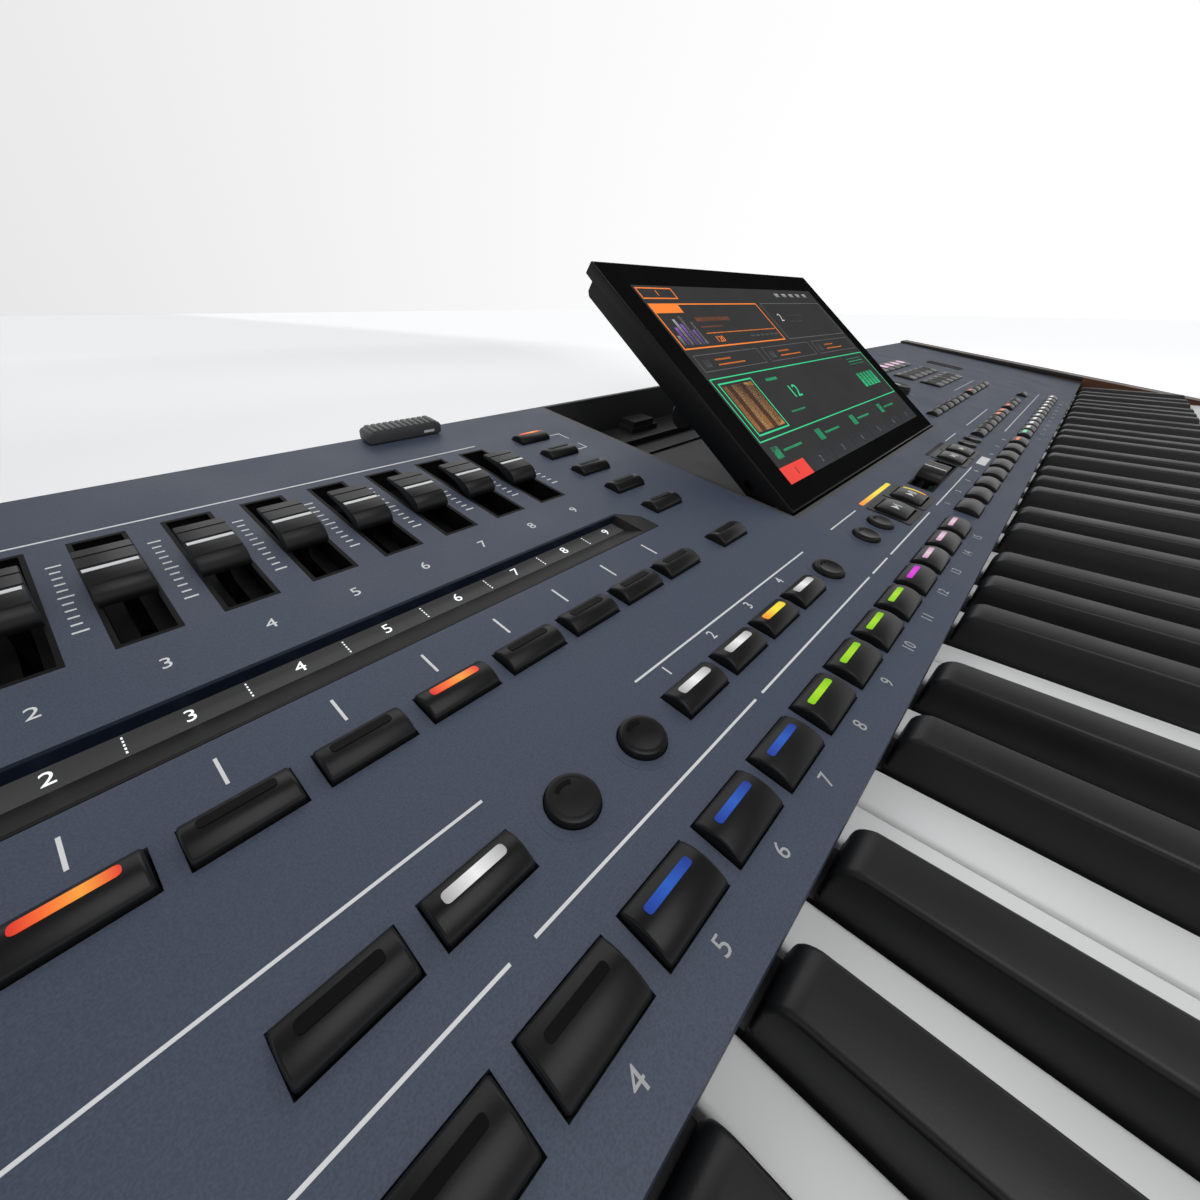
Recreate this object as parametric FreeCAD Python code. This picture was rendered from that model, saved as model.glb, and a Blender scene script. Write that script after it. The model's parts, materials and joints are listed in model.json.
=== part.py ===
import FreeCAD, Part
import math
import os

# Arranger keyboard with wooden end cheeks, a sloped control panel and a tilting display.
# Millimetres. X runs along the keys, Y to the back, Z up. The origin is on the table,
# under the middle of the case. Places on the panel are (x, v, n): v up the slope from
# the panel's front edge, n out of the panel.

Vector = FreeCAD.Vector

# Case
block_width = 106.0
cheek_thickness = 27.0
cheek_front_height = 74.0
cheek_rear_height = 127.0
cheek_corner = 14.0
floor_thickness = 3.0
wall_thickness = 3.0
foot_height = 8.0
foot_radius = 13.0
foot_inset = 62.0
seat_gap = 0.2
cut_overrun = 5.0

# Control panel
panel_slope = 9.14
panel_rear_margin = 7.0
panel_thickness = 2.5
panel_lip = 6.0
panel_step = 12.8

# Keys
octave_width = 165.0
first_note = 28
last_note = 103
key_top_height = 78.0
key_reach = 150.0
key_gap = 0.9
white_thickness = 16.0
white_lip_depth = 6.0
white_lip_thickness = 4.0
white_cover = 12.0
black_length = 95.0
black_width = 14.2
black_top_width = 10.4
black_rise = 11.5
black_shoulder = 1.2
black_sink = 10.0
black_front_slope = 9.0
black_rear_slope = 3.0
black_rear_gap = 1.6
black_tail_drop = 1.0
key_arm_width = 9.4
key_arm_height = 12.0
key_arm_overlap = 6.0
key_arm_end = 6.0
key_end_gap = 1.5
treble_gap = 2.8
pivot_distance = 60.0
pivot_drop = 15.0
pivot_radius = 2.0
running_gap = 0.05

# Key slip and left control block
key_slip_thickness = 9.0
key_slip_gap = 3.0
key_slip_top = 64.0
block_joint = 0.3

# Key chassis
chassis_plate = 2.0
chassis_front_inset = 20.0
chassis_rear_reach = 16.0
chassis_rail = 6.0
bracket_thickness = 2.0
bracket_width = 16.0
bracket_cap = 6.0
contact_drop = 30.0
contact_stand = 6.0
contact_distance = 100.0
contact_width = 22.0
contact_post_count = 4
board_thickness = 1.6

# Buttons
button_space = 4.05
button_depth = 8.0
style_depth = 9.9
button_rise = 2.6
button_side = 1.3
button_gap = 0.35
button_flange = 0.7
button_flange_thickness = 1.2
button_stop = 0.3
button_stem = 3.0
button_travel = 1.0
round_radius = 5.2
round_gap = 0.9
board_depth = 12.0
post_size = 5.0
post_count = 6
crown_shares = ((-0.5, 0.0), (-0.34, 0.62), (-0.14, 0.95), (0.14, 0.95), (0.34, 0.62), (0.5, 0.0))

# Button places
button_pitch = 20.35
column_start = 148.7
style_row = 15.1
pad_row_gap = 23.1
strip_row_gap = 34.9
style_count = 15
second_style_gap = 31.0
second_style_pitch = 23.3
second_style_count = 5
third_style_gap = 24.8
third_style_pitch = 25.4
third_style_count = 3
strip_count = 9
pad_columns = (2, 3, 6, 7, 8, 9)
round_columns = (4, 5, 10)
mode_gap = 33.0
mode_row_gap = 29.4
mode_pitch = 19.2
mode_count = 5

# Player section
player_gap = 38.5
player_square_width = 17.5
player_square_depth = 15.0
player_square_inner = 47.7
player_square_pitch = 22.6
player_round_gap = 20.6
player_round_pitch = 17.1
player_right_shift = 5.9

# Rows at the right and left of the panel
right_front_gap = 30.6
right_front_pitch = 20.6
right_front_count = 11
right_middle_gap = 18.5
right_middle_groups = ((0, 20.2, 6), (132.8, 20.2, 3), (223.0, 20.2, 1))
right_rear_gap = 39.7
right_rear_groups = ((0, 20.3, 6), (136.0, 22.7, 4))
left_row_start = 26.0
left_row_pitch = 21.0
left_row_count = 8
row_button_space = 4.0
keypad_gap = 87.5
keypad_pitch = 20.0
keypad_columns = 5
keypad_space = 1.6
keypad_row_gaps = (32.1, 24.5, 27.5)

# Faders
fader_start = 150.1
fader_pitch = 20.0
fader_count = 9
slot_width = 10.7
slot_length = 50.2
slot_gap = 22.1
slot_wall = 0.8
slot_depth = 8.0
slot_channel = 3.2
slot_channel_length = 40.0
cap_overhang = 0.25
cap_length = 19.4
cap_rise = 6.0
lever_gap = 0.4
lever_length = 8.0
lever_reach = 6.0
lever_share = 0.85
pot_width = 11.0
pot_length = 58.0
pot_height = 9.0
cap_shares = ((-0.485, 0.07), (-0.5, 0.3), (-0.5, 0.53), (-0.475, 0.88), (-0.41, 1.0), (0.47, 0.975),
              (0.5, 0.78), (0.31, 0.73), (0.13, 0.67), (-0.05, 0.53), (-0.185, 0.35), (-0.28, 0.17), (-0.34, 0.07))
balance_length = 58.0
balance_offset = 8.0

# Strip display
strip_gap = 15.1
strip_depth = 15.1
strip_overhang = 15.7
strip_corner = 6.8
strip_recess = 2.6
strip_thickness = 7.0
strip_glass_front = 7.9
strip_glass_rear = 1.0
strip_glass_end = 9.2
strip_glass_thickness = 2.0

# Display
display_width = 226.0
display_height = 141.7
display_thickness = 11.8
display_tilt = 29.2
display_row_gap = 26.9
display_foot_rise = 0.5
display_axis_up = 5.0
display_axis_back = 6.0
display_gap = 37.6
display_rim = 2.0
display_glass_thickness = 2.0
display_back_margin = 14.0
display_back_depth = 11.2
display_notch_height = 5.2
display_notch_depth = 6.0
hinge_pin_radius = 1.9
hinge_pin_length = 12.0
well_side_gap = 1.8
well_front_gap = 1.1
well_depth = 23.5
well_wall = 2.0
shelf_length = 25.3
shelf_height = 3.4
channel_gap = 13.0
channel_width = 4.0
channel_depth = 1.2
catch_offset = 62.3
catch_gap = 8.0
catch_width = 26.0
catch_length = 11.5
catch_height = 3.1
catch_step = 2.0
catch_top_width = 20.0
catch_top_height = 3.5

# Loudspeaker latch
latch_offset = 295.5
latch_length = 33.0
latch_depth = 8.4
latch_rise = 5.6
latch_rear_gap = 1.2
latch_lift = 0.3
latch_tongue = 8.0
latch_tongue_depth = 3.0
latch_tongue_drop = 6.0
latch_travel = 8.0

# Knob
knob_gap = 83.2
knob_row_gap = 39.8
knob_radius = 9.0
knob_height = 6.2
knob_lift = 0.5
knob_shaft_radius = 3.0
knob_shaft_length = 14.0
knob_pot_size = 16.0

# Joystick
stick_offset = 53.0
stick_row = -70.0
stick_opening = 24.0
stick_depth = 14.0
stick_radius = 3.0
stick_length = 36.0
stick_knob_radius = 8.0
stick_knob_height = 9.0
yoke_length = 22.0
yoke_width = 18.0
yoke_height = 8.0
yoke_wall = 3.5
yoke_pin_radius = 2.0
yoke_pin_length = 6.0
stick_pin_radius = 1.8
ear_thickness = 4.0
ear_gap = 0.4
ear_width = 10.0
ear_drop = 6.0

# Rear sockets
socket_height = 42.0
jack_radius = 3.25
jack_ring_radius = 6.0
jack_length = 22.0
jack_pitch = 26.0
jack_start = 120.0
jack_count = 4
midi_radius = 8.0
midi_depth = 12.0
midi_pitch = 26.0
midi_start = 125.0
midi_count = 2
usb_width = 12.0
usb_height = 11.0
usb_wall = 1.2
usb_depth = 12.0
usb_place = 320.0
inlet_width = 30.0
inlet_height = 23.0
inlet_wall = 2.5
inlet_depth = 20.0
inlet_cavity_depth = 16.0
inlet_place = 430.0
power_width = 14.0
power_height = 9.0
power_reach = 9.0
power_gap = 50.0

# Inside
board_gap = 10.5
board_rear_gap = 21.6
board_supply_gap = 30.0
main_board_length = 470.0
main_board_height = 20.0
supply_end_gap = 25.5
supply_rear_gap = 26.6
supply_length = 150.0
supply_height = 40.0
screw_radius = 2.0
screw_head_radius = 3.6
screw_head_height = 1.5
screw_length = 9.0
screw_count = 6
screw_inset = 40.0
screw_gap = 0.1

# Derived places: rows up the panel
slope = math.radians(panel_slope)
slope_sin = math.sin(slope)
slope_cos = math.cos(slope)
slope_tan = math.tan(slope)
button_width = button_pitch - button_space
pad_row = style_row + pad_row_gap
strip_row = pad_row + strip_row_gap
mode_row = strip_row + mode_row_gap
knob_row = strip_row + knob_row_gap
strip_front = strip_row + button_depth / 2 + strip_gap
slot_front = strip_front + strip_depth + slot_gap
fader_row = slot_front + slot_length / 2
keypad_size = keypad_pitch - keypad_space
keypad_rows = [strip_row + sum(keypad_row_gaps[:i + 1]) for i in range(len(keypad_row_gaps))]
display_foot = pad_row + display_row_gap
panel_length = display_foot + display_height + panel_rear_margin
cap_width = slot_width + 2 * cap_overhang
lever_width = slot_channel - 2 * lever_gap

# Derived places: case and keys
panel_run = panel_length * slope_cos
case_depth = key_slip_thickness + key_slip_gap + key_reach + panel_run
front_y = -case_depth / 2
rear_y = case_depth / 2
panel_front_y = rear_y - panel_run
panel_front_height = key_top_height + panel_step
panel_drop = panel_thickness / slope_cos
floor_top = foot_height + floor_thickness
white_pitch = octave_width / 7
lower_slot = 3 * white_pitch / 5
upper_slot = 4 * white_pitch / 7
note_names = ("c", "c_sharp", "d", "d_sharp", "e", "f", "f_sharp", "g", "g_sharp", "a", "a_sharp", "b")
white_notes = (0, 2, 4, 5, 7, 9, 11)
all_notes = range(first_note, last_note + 1)
white_count = len([note for note in all_notes if note % 12 in white_notes])
inner_x = (block_width + key_end_gap + white_count * white_pitch + treble_gap) / 2
case_width = 2 * (inner_x + cheek_thickness)
keys_right = inner_x - treble_gap
keys_left = keys_right - white_count * white_pitch
block_right = keys_left - key_end_gap
key_front_y = panel_front_y - key_reach
black_rear_y = panel_front_y - black_rear_gap
black_front_y = black_rear_y - black_length
key_tail_y = panel_front_y + white_cover
pivot_y = panel_front_y + pivot_distance
pivot_height = key_top_height - pivot_drop
contact_height = key_top_height - contact_drop
chassis_height = contact_height - contact_stand - chassis_plate
board_front = pivot_y + chassis_rear_reach + board_gap
board_rear = rear_y - wall_thickness - board_rear_gap
supply_rear = rear_y - wall_thickness - supply_rear_gap
supply_left = -inner_x + supply_end_gap
main_board_left = supply_left + supply_length + board_supply_gap
power_place = inlet_place + power_gap

# Derived places: along the panel
fader_last_x = keys_left + fader_start + (fader_count - 1) * fader_pitch
mode_x = fader_last_x + mode_gap
well_left = mode_x + display_gap
display_x = well_left + well_side_gap + display_width / 2
well_right = display_x + display_width / 2 + well_side_gap
well_front = display_foot - well_front_gap
tilt = math.radians(display_tilt)
axis_v = display_foot + display_axis_up * math.cos(tilt) + display_axis_back * math.sin(tilt)
axis_n = display_foot_rise + display_axis_up * math.sin(tilt) - display_axis_back * math.cos(tilt)
knob_x = well_right + knob_gap
keypad_left = knob_x + keypad_gap
player_square_outer = player_square_inner + player_square_pitch
player_round_inner = player_square_outer + player_round_gap
player_round_outer = player_round_inner + player_round_pitch
panel_place = FreeCAD.Placement(Vector(0, panel_front_y, panel_front_height),
                                FreeCAD.Rotation(Vector(1, 0, 0), panel_slope))
tilt_place = FreeCAD.Placement(Vector(display_x, axis_v, axis_n),
                               FreeCAD.Rotation(Vector(1, 0, 0), display_tilt))


# Shape helpers
def box(x0, x1, y0, y1, z0, z1):
    return Part.makeBox(x1 - x0, y1 - y0, z1 - z0, Vector(x0, y0, z0))


def prism(points, x0, x1):
    """A solid with a side profile of (y, z) points, drawn along X."""
    corners = [Vector(x0, y, z) for y, z in points]
    outline = Part.makePolygon(corners + corners[:1])
    return Part.Face(outline).extrude(Vector(x1 - x0, 0, 0))


def slab(points, z0, z1):
    """A solid with a plan of (x, y) points, drawn along Z."""
    corners = [Vector(x, y, z0) for x, y in points]
    outline = Part.makePolygon(corners + corners[:1])
    return Part.Face(outline).extrude(Vector(0, 0, z1 - z0))


def tapered(low, high, z0, z1):
    """A flat-faced block between two plans with as many (x, y) corners."""
    bottom = [Vector(x, y, z0) for x, y in low]
    top = [Vector(x, y, z1) for x, y in high]
    loops = [bottom, top]
    for i in range(len(low)):
        j = (i + 1) % len(low)
        loops.append([bottom[i], bottom[j], top[j], top[i]])
    faces = [Part.Face(Part.makePolygon(loop + loop[:1])) for loop in loops]
    solid = Part.Solid(Part.Shell(faces))
    if solid.Volume < 0:
        solid.reverse()
    return solid


def rectangle(x0, x1, y0, y1):
    return [(x0, y0), (x1, y0), (x1, y1), (x0, y1)]


def octagon(x, y, radius):
    """An octagon whose flats lie at the radius."""
    corner = radius / math.cos(math.pi / 8)
    turns = [math.pi / 8 + i * math.pi / 4 for i in range(8)]
    return [(x + corner * math.cos(turn), y + corner * math.sin(turn)) for turn in turns]


def rod(radius, start, end):
    way = end.sub(start)
    return Part.makeCylinder(radius, way.Length, start, way)


def fuse(shapes):
    return shapes[0].multiFuse(shapes[1:]).removeSplitter()


def placed(shape, place):
    moved = shape.copy()
    moved.Placement = place.multiply(moved.Placement)
    return moved


def on_panel(shape):
    return placed(shape, panel_place)


def export(name, solids):
    shape = solids[0] if len(solids) == 1 else Part.makeCompound(solids)
    shape.exportStep("parts/" + name + ".step")


# Panel places
def column_x(column):
    return keys_left + column_start + column * button_pitch


def fader_x(index):
    return keys_left + fader_start + index * fader_pitch


def row_places(start, pitch, count, row):
    return [(start + i * pitch, row) for i in range(count)]


balance_x = column_x(round_columns[-1]) + player_gap + player_round_outer
style_places = row_places(column_x(0), button_pitch, style_count, style_row)
second_style_start = column_x(style_count - 1) + second_style_gap
style_places += row_places(second_style_start, second_style_pitch, second_style_count, style_row)
third_style_start = style_places[-1][0] + third_style_gap
style_places += row_places(third_style_start, third_style_pitch, third_style_count, style_row)
strip_places = row_places(column_x(0), button_pitch, strip_count, strip_row)
pad_places = [(column_x(column), pad_row) for column in pad_columns]
round_places = [(column_x(column), pad_row) for column in round_columns]
mode_places = [(mode_x, mode_row + i * mode_pitch) for i in range(mode_count)]
mode_places.append((mode_x, strip_row))
square_places = []
player_round_places = []
for side, middle in ((-1, balance_x), (1, balance_x - player_right_shift)):
    for i in range(2):
        square_x = middle + side * (player_square_inner + i * player_square_pitch)
        square_places.append((square_x, pad_row))
        round_x = middle + side * (player_round_inner + i * player_round_pitch)
        player_round_places.append((round_x, pad_row))
right_front_start = style_places[-1][0] + right_front_gap
right_middle_start = balance_x + player_round_outer + right_middle_gap
right_rear_start = well_right + right_rear_gap
left_start = -inner_x + left_row_start
side_rows = []
row_groups = [(right_front_start, right_front_pitch, right_front_count, style_row),
              (left_start, left_row_pitch, left_row_count, pad_row),
              (left_start, left_row_pitch, left_row_count, strip_row)]
row_groups += [(right_middle_start + step, pitch, count, pad_row) for step, pitch, count in right_middle_groups]
row_groups += [(right_rear_start + step, pitch, count, strip_row) for step, pitch, count in right_rear_groups]
for start, pitch, count, row in row_groups:
    side_rows.append((row_places(start, pitch, count, row), pitch - row_button_space, button_depth))
keypad_places = []
for row in keypad_rows:
    keypad_places += row_places(keypad_left, keypad_pitch, keypad_columns, row)
latch_x = keys_left + latch_offset
latch_v = panel_length - latch_rear_gap - latch_depth / 2
stick_x = -inner_x + stick_offset

# What goes through the panel: places, width and depth of each group of rectangular buttons
button_kinds = {
    "style_buttons": [(style_places, button_width, style_depth)],
    "strip_buttons": [(strip_places, button_width, button_depth)],
    "pad_buttons": [(pad_places, button_width, button_depth)],
    "mode_buttons": [(mode_places, button_width, button_depth)],
    "player_buttons": [(square_places, player_square_width, player_square_depth)],
    "row_buttons": side_rows,
    "keypad_buttons": [(keypad_places, keypad_size, keypad_size)],
}
round_kinds = {"pad_buttons": round_places, "player_buttons": player_round_places}


# Keys
def octave_x(note):
    steps = note // 12 - first_note // 12
    return keys_left - white_notes.index(first_note % 12) * white_pitch + steps * octave_width


def slot_centre(note):
    step = note % 12
    if step < 5:
        return octave_x(note) + (step + 0.5) * lower_slot
    return octave_x(note) + 3 * white_pitch + (step - 4.5) * upper_slot


def is_black(note):
    return note in all_notes and note % 12 not in white_notes


def key_arm(note, rear_y_of_key):
    x = slot_centre(note)
    low = pivot_height - key_arm_height / 2
    return box(x - key_arm_width / 2, x + key_arm_width / 2, rear_y_of_key - key_arm_overlap,
               pivot_y + key_arm_end, low, low + key_arm_height)


def bored(key, note):
    x = slot_centre(note)
    bore = rod(pivot_radius + running_gap, Vector(x - white_pitch, pivot_y, pivot_height),
               Vector(x + white_pitch, pivot_y, pivot_height))
    return key.cut(bore)


def white_key(note):
    x0 = octave_x(note) + white_notes.index(note % 12) * white_pitch + key_gap / 2
    x1 = x0 + white_pitch - key_gap
    tail_x0 = x0
    tail_x1 = x1
    if is_black(note - 1):
        tail_x0 = slot_centre(note - 1) + black_width / 2 + key_gap
    if is_black(note + 1):
        tail_x1 = slot_centre(note + 1) - black_width / 2 - key_gap
    low = key_top_height - white_thickness
    notch_y = black_front_y - key_gap
    head = box(x0, x1, key_front_y, notch_y, low, key_top_height)
    tail = box(tail_x0, tail_x1, notch_y, key_tail_y, low, key_top_height)
    lip = box(x0, x1, key_front_y, key_front_y + white_lip_thickness, low - white_lip_depth, low)
    return bored(fuse([head, tail, lip, key_arm(note, key_tail_y)]), note)


def black_key(note):
    x = slot_centre(note)
    shoulder_z = key_top_height + black_shoulder
    top_z = key_top_height + black_rise
    low = key_top_height - black_sink
    base_plan = rectangle(x - black_width / 2, x + black_width / 2, black_front_y, black_rear_y)
    top_plan = rectangle(x - black_top_width / 2, x + black_top_width / 2,
                         black_front_y + black_front_slope, black_rear_y - black_rear_slope)
    body = slab(base_plan, low, shoulder_z)
    crown = tapered(base_plan, top_plan, shoulder_z, top_z)
    tail = box(x - black_width / 2, x + black_width / 2, black_rear_y, key_tail_y, low,
               key_top_height - black_tail_drop)
    return bored(fuse([body, crown, tail, key_arm(note, key_tail_y)]), note)


def key_group(step):
    notes = [note for note in all_notes if note % 12 == step]
    return [black_key(note) if is_black(note) else white_key(note) for note in notes]


# Case
def floor_plate():
    plate = box(-inner_x, inner_x, front_y, rear_y, foot_height, floor_top)
    holes = [rod(screw_radius + screw_gap, Vector(x, y, foot_height - cut_overrun),
                 Vector(x, y, floor_top + cut_overrun)) for x, y in screw_places()]
    posts = []
    for x in (main_board_left + post_size, main_board_left + main_board_length - 2 * post_size):
        for y in (board_front + post_size, board_rear - 2 * post_size):
            posts.append(box(x, x + post_size, y, y + post_size, floor_top, main_board_height))
    return fuse([plate] + posts).cut(Part.makeCompound(holes))


def screw_places():
    front_rail = key_front_y + chassis_front_inset + chassis_rail / 2
    rear_rail = pivot_y + chassis_rear_reach - chassis_rail / 2
    span = keys_right - keys_left - 2 * screw_inset
    along = [keys_left + screw_inset + i * span / (screw_count - 1) for i in range(screw_count)]
    return [(x, y) for x in along for y in (front_rail, rear_rail)]


def case_screws():
    screws = []
    for x, y in screw_places():
        seat = Vector(x, y, foot_height)
        head = rod(screw_head_radius, Vector(x, y, foot_height - screw_head_height), seat)
        shank = rod(screw_radius, seat, Vector(x, y, foot_height + screw_length))
        screws.append(head.fuse(shank))
    return screws


def rubber_feet():
    spread_x = case_width / 2 - foot_inset
    spread_y = case_depth / 2 - foot_inset
    return [rod(foot_radius, Vector(x, y, 0), Vector(x, y, foot_height))
            for x in (-spread_x, 0, spread_x) for y in (-spread_y, spread_y)]


def end_cheek(side):
    profile = [(front_y, foot_height), (rear_y, foot_height), (rear_y, cheek_rear_height),
               (front_y, cheek_front_height)]
    low_x = inner_x if side > 0 else -inner_x - cheek_thickness
    cheek = prism(profile, low_x, low_x + cheek_thickness)
    nose = Vector(low_x + cheek_thickness / 2, front_y, cheek_front_height)
    edges = [edge for edge in cheek.Edges if edge.CenterOfMass.distanceToPoint(nose) < seat_gap]
    return cheek.makeFillet(cheek_corner, edges)


def panel_cutter():
    """Everything that is cut out of the control panel."""
    low = -panel_lip - cut_overrun
    tools = []
    for groups in button_kinds.values():
        for places, width, depth in groups:
            half_x = width / 2 + button_gap
            half_v = depth / 2 + button_gap
            for x, v in places:
                tools.append(box(x - half_x, x + half_x, v - half_v, v + half_v, low, cut_overrun))
    for places in round_kinds.values():
        for x, v in places:
            tools.append(slab(octagon(x, v, round_radius + round_gap), low, cut_overrun))
    half_x = slot_width / 2 + slot_wall
    half_v = slot_length / 2 + slot_wall
    for i in range(fader_count):
        x = fader_x(i)
        tools.append(box(x - half_x, x + half_x, fader_row - half_v, fader_row + half_v, low, cut_overrun))
    tools.append(box(balance_x - balance_length / 2 - slot_wall, balance_x + balance_length / 2 + slot_wall,
                     pad_row - half_x, pad_row + half_x, low, cut_overrun))
    tools.append(slab(strip_outline(seat_gap), low, cut_overrun))
    tools.append(box(well_left - well_wall, well_right + well_wall, well_front - well_wall,
                     panel_length + cut_overrun, low, cut_overrun))
    tools.append(box(latch_x - latch_tongue / 2 - seat_gap - latch_travel / 2,
                     latch_x + latch_tongue / 2 + seat_gap + latch_travel,
                     latch_v - latch_tongue_depth - seat_gap, latch_v + seat_gap, low, cut_overrun))
    tools.append(slab(octagon(knob_x, knob_row, knob_shaft_radius + round_gap), low, cut_overrun))
    return on_panel(Part.makeCompound(tools))


def panel_posts():
    """Square posts that carry the boards under the panel."""
    posts = []
    between_rows = (pad_row + strip_row) / 2
    reach = inner_x - 2 * cheek_thickness
    for i in range(post_count):
        posts.append((-reach + i * 2 * reach / (post_count - 1), between_rows))
    posts.append((mode_x, mode_row + mode_pitch / 2))
    posts.append((mode_x, mode_places[mode_count - 1][1] - mode_pitch / 2))
    for x in (keypad_places[0][0], keypad_places[-1][0]):
        posts.append((x, (keypad_rows[1] + keypad_rows[2]) / 2))
    half = post_size / 2
    return [box(x - half, x + half, v - half, v + half, -board_depth, -panel_thickness) for x, v in posts]


def top_panel():
    rear_height = panel_front_height + panel_length * slope_sin
    lip_rear_y = panel_front_y + panel_thickness
    profile = [(panel_front_y, panel_front_height),
               (rear_y, rear_height),
               (rear_y, rear_height - panel_drop),
               (lip_rear_y, panel_front_height - panel_drop + panel_thickness * slope_tan),
               (lip_rear_y, panel_front_height - panel_lip),
               (panel_front_y, panel_front_height - panel_lip)]
    plate = prism(profile, -inner_x, inner_x)
    whole = fuse([plate] + [on_panel(post) for post in panel_posts()])
    return whole.cut(panel_cutter())


def panel_boards():
    """The switch boards under the button rows, the mode column and the keypad."""
    top = -board_depth
    low = top - board_thickness
    margin = button_depth
    boards = [box(-inner_x + cheek_thickness, inner_x - cheek_thickness, style_row - margin,
                  well_front - 2 * well_wall, low, top),
              box(-inner_x + cheek_thickness, mode_x + button_width, well_front - 2 * well_wall,
                  strip_row + margin, low, top),
              box(well_right + 2 * well_wall, inner_x - cheek_thickness, well_front - 2 * well_wall,
                  strip_row + margin, low, top),
              box(mode_x - button_width / 2, mode_x + button_width, strip_row + margin,
                  mode_places[mode_count - 1][1] + margin, low, top),
              box(keypad_places[0][0] - keypad_size, keypad_places[-1][0] + keypad_size, strip_row + margin,
                  keypad_rows[-1] + keypad_size, low, top)]
    return [on_panel(fuse(boards))]


def left_block():
    run = panel_front_y - front_y
    fall = run * slope_tan
    top_front = panel_front_height - fall
    joint_y = panel_front_y - block_joint
    joint_z = panel_front_height - block_joint * slope_tan
    plate = prism([(front_y, top_front), (joint_y, joint_z), (joint_y, joint_z - panel_drop),
                   (front_y, top_front - panel_drop)], -inner_x, block_right)
    front = prism([(front_y, floor_top), (front_y + wall_thickness, floor_top),
                   (front_y + wall_thickness, top_front - panel_drop + wall_thickness * slope_tan),
                   (front_y, top_front - panel_drop)], -inner_x, block_right)
    side = prism([(front_y, floor_top), (joint_y, floor_top), (joint_y, joint_z - panel_drop),
                  (front_y, top_front - panel_drop)], block_right - wall_thickness, block_right)
    ears = [on_panel(ear) for ear in stick_ears()]
    half = stick_opening / 2
    opening = on_panel(box(stick_x - half, stick_x + half, stick_row - half, stick_row + half,
                           -panel_thickness - cut_overrun, cut_overrun))
    bore = on_panel(rod(yoke_pin_radius + running_gap,
                        Vector(stick_x - stick_opening, stick_row, -stick_depth),
                        Vector(stick_x + stick_opening, stick_row, -stick_depth)))
    return fuse([plate, front, side] + ears).cut(opening).cut(bore)


def stick_ears():
    inner = yoke_length / 2 + ear_gap
    low = -stick_depth - ear_drop
    ears = []
    for side in (-1, 1):
        near = stick_x + side * inner
        far = near + side * ear_thickness
        ears.append(box(min(near, far), max(near, far), stick_row - ear_width / 2, stick_row + ear_width / 2,
                        low, -panel_thickness))
    return ears


def key_slip():
    return box(block_right + block_joint, inner_x, front_y, front_y + key_slip_thickness, floor_top,
               key_slip_top)


def rear_panel():
    inside_y = rear_y - wall_thickness
    top = panel_front_height + (inside_y - panel_front_y) * slope_tan - panel_drop
    plate = box(-inner_x, inner_x, inside_y, rear_y, floor_top, top)
    cuts = [on_panel(box(well_left - well_wall, well_right + well_wall, well_front, panel_length + well_depth,
                         -well_depth - well_wall, cut_overrun))]
    far_y = rear_y + cut_overrun
    near_y = inside_y - cut_overrun
    for x in jack_places():
        cuts.append(rod(jack_ring_radius, Vector(x, near_y, socket_height), Vector(x, far_y, socket_height)))
    for x in midi_places():
        cuts.append(rod(midi_radius, Vector(x, near_y, socket_height), Vector(x, far_y, socket_height)))
    for x, width, height in ((usb_place, usb_width, usb_height), (inlet_place, inlet_width, inlet_height),
                             (power_place, power_width + 2 * button_gap, power_height + 2 * button_gap)):
        cuts.append(box(x - width / 2, x + width / 2, near_y, far_y, socket_height - height / 2,
                        socket_height + height / 2))
    return plate.cut(Part.makeCompound(cuts))


def jack_places():
    return [-jack_start + i * jack_pitch for i in range(jack_count)]


def midi_places():
    return [midi_start + i * midi_pitch for i in range(midi_count)]


def rear_sockets():
    sockets = []
    for x in jack_places():
        body = rod(jack_ring_radius, Vector(x, rear_y - jack_length, socket_height),
                   Vector(x, rear_y, socket_height))
        bore = rod(jack_radius, Vector(x, rear_y - jack_length - cut_overrun, socket_height),
                   Vector(x, rear_y + cut_overrun, socket_height))
        sockets.append(body.cut(bore))
    for x in midi_places():
        sockets.append(rod(midi_radius, Vector(x, rear_y - midi_depth, socket_height),
                           Vector(x, rear_y, socket_height)))
    shell = box(usb_place - usb_width / 2, usb_place + usb_width / 2, rear_y - usb_depth, rear_y,
                socket_height - usb_height / 2, socket_height + usb_height / 2)
    cavity = box(usb_place - usb_width / 2 + usb_wall, usb_place + usb_width / 2 - usb_wall,
                 rear_y - usb_depth + usb_wall, rear_y + cut_overrun,
                 socket_height - usb_height / 2 + usb_wall, socket_height + usb_height / 2 - usb_wall)
    sockets.append(shell.cut(cavity))
    return sockets


def power_inlet():
    half_x = inlet_width / 2
    half_z = inlet_height / 2
    shell = box(inlet_place - half_x, inlet_place + half_x, rear_y - inlet_depth, rear_y,
                socket_height - half_z, socket_height + half_z)
    cavity = box(inlet_place - half_x + inlet_wall, inlet_place + half_x - inlet_wall,
                 rear_y - inlet_cavity_depth, rear_y + cut_overrun,
                 socket_height - half_z + inlet_wall, socket_height + half_z - inlet_wall)
    return shell.cut(cavity)


def power_button():
    half_x = power_width / 2
    half_z = power_height / 2
    cap = box(power_place - half_x, power_place + half_x, rear_y - power_reach, rear_y,
              socket_height - half_z, socket_height + half_z)
    flange_front = rear_y - wall_thickness - button_stop
    flange = box(power_place - half_x - button_flange, power_place + half_x + button_flange,
                 flange_front - button_flange_thickness, flange_front,
                 socket_height - half_z - button_flange, socket_height + half_z + button_flange)
    return fuse([cap, flange])


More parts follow.
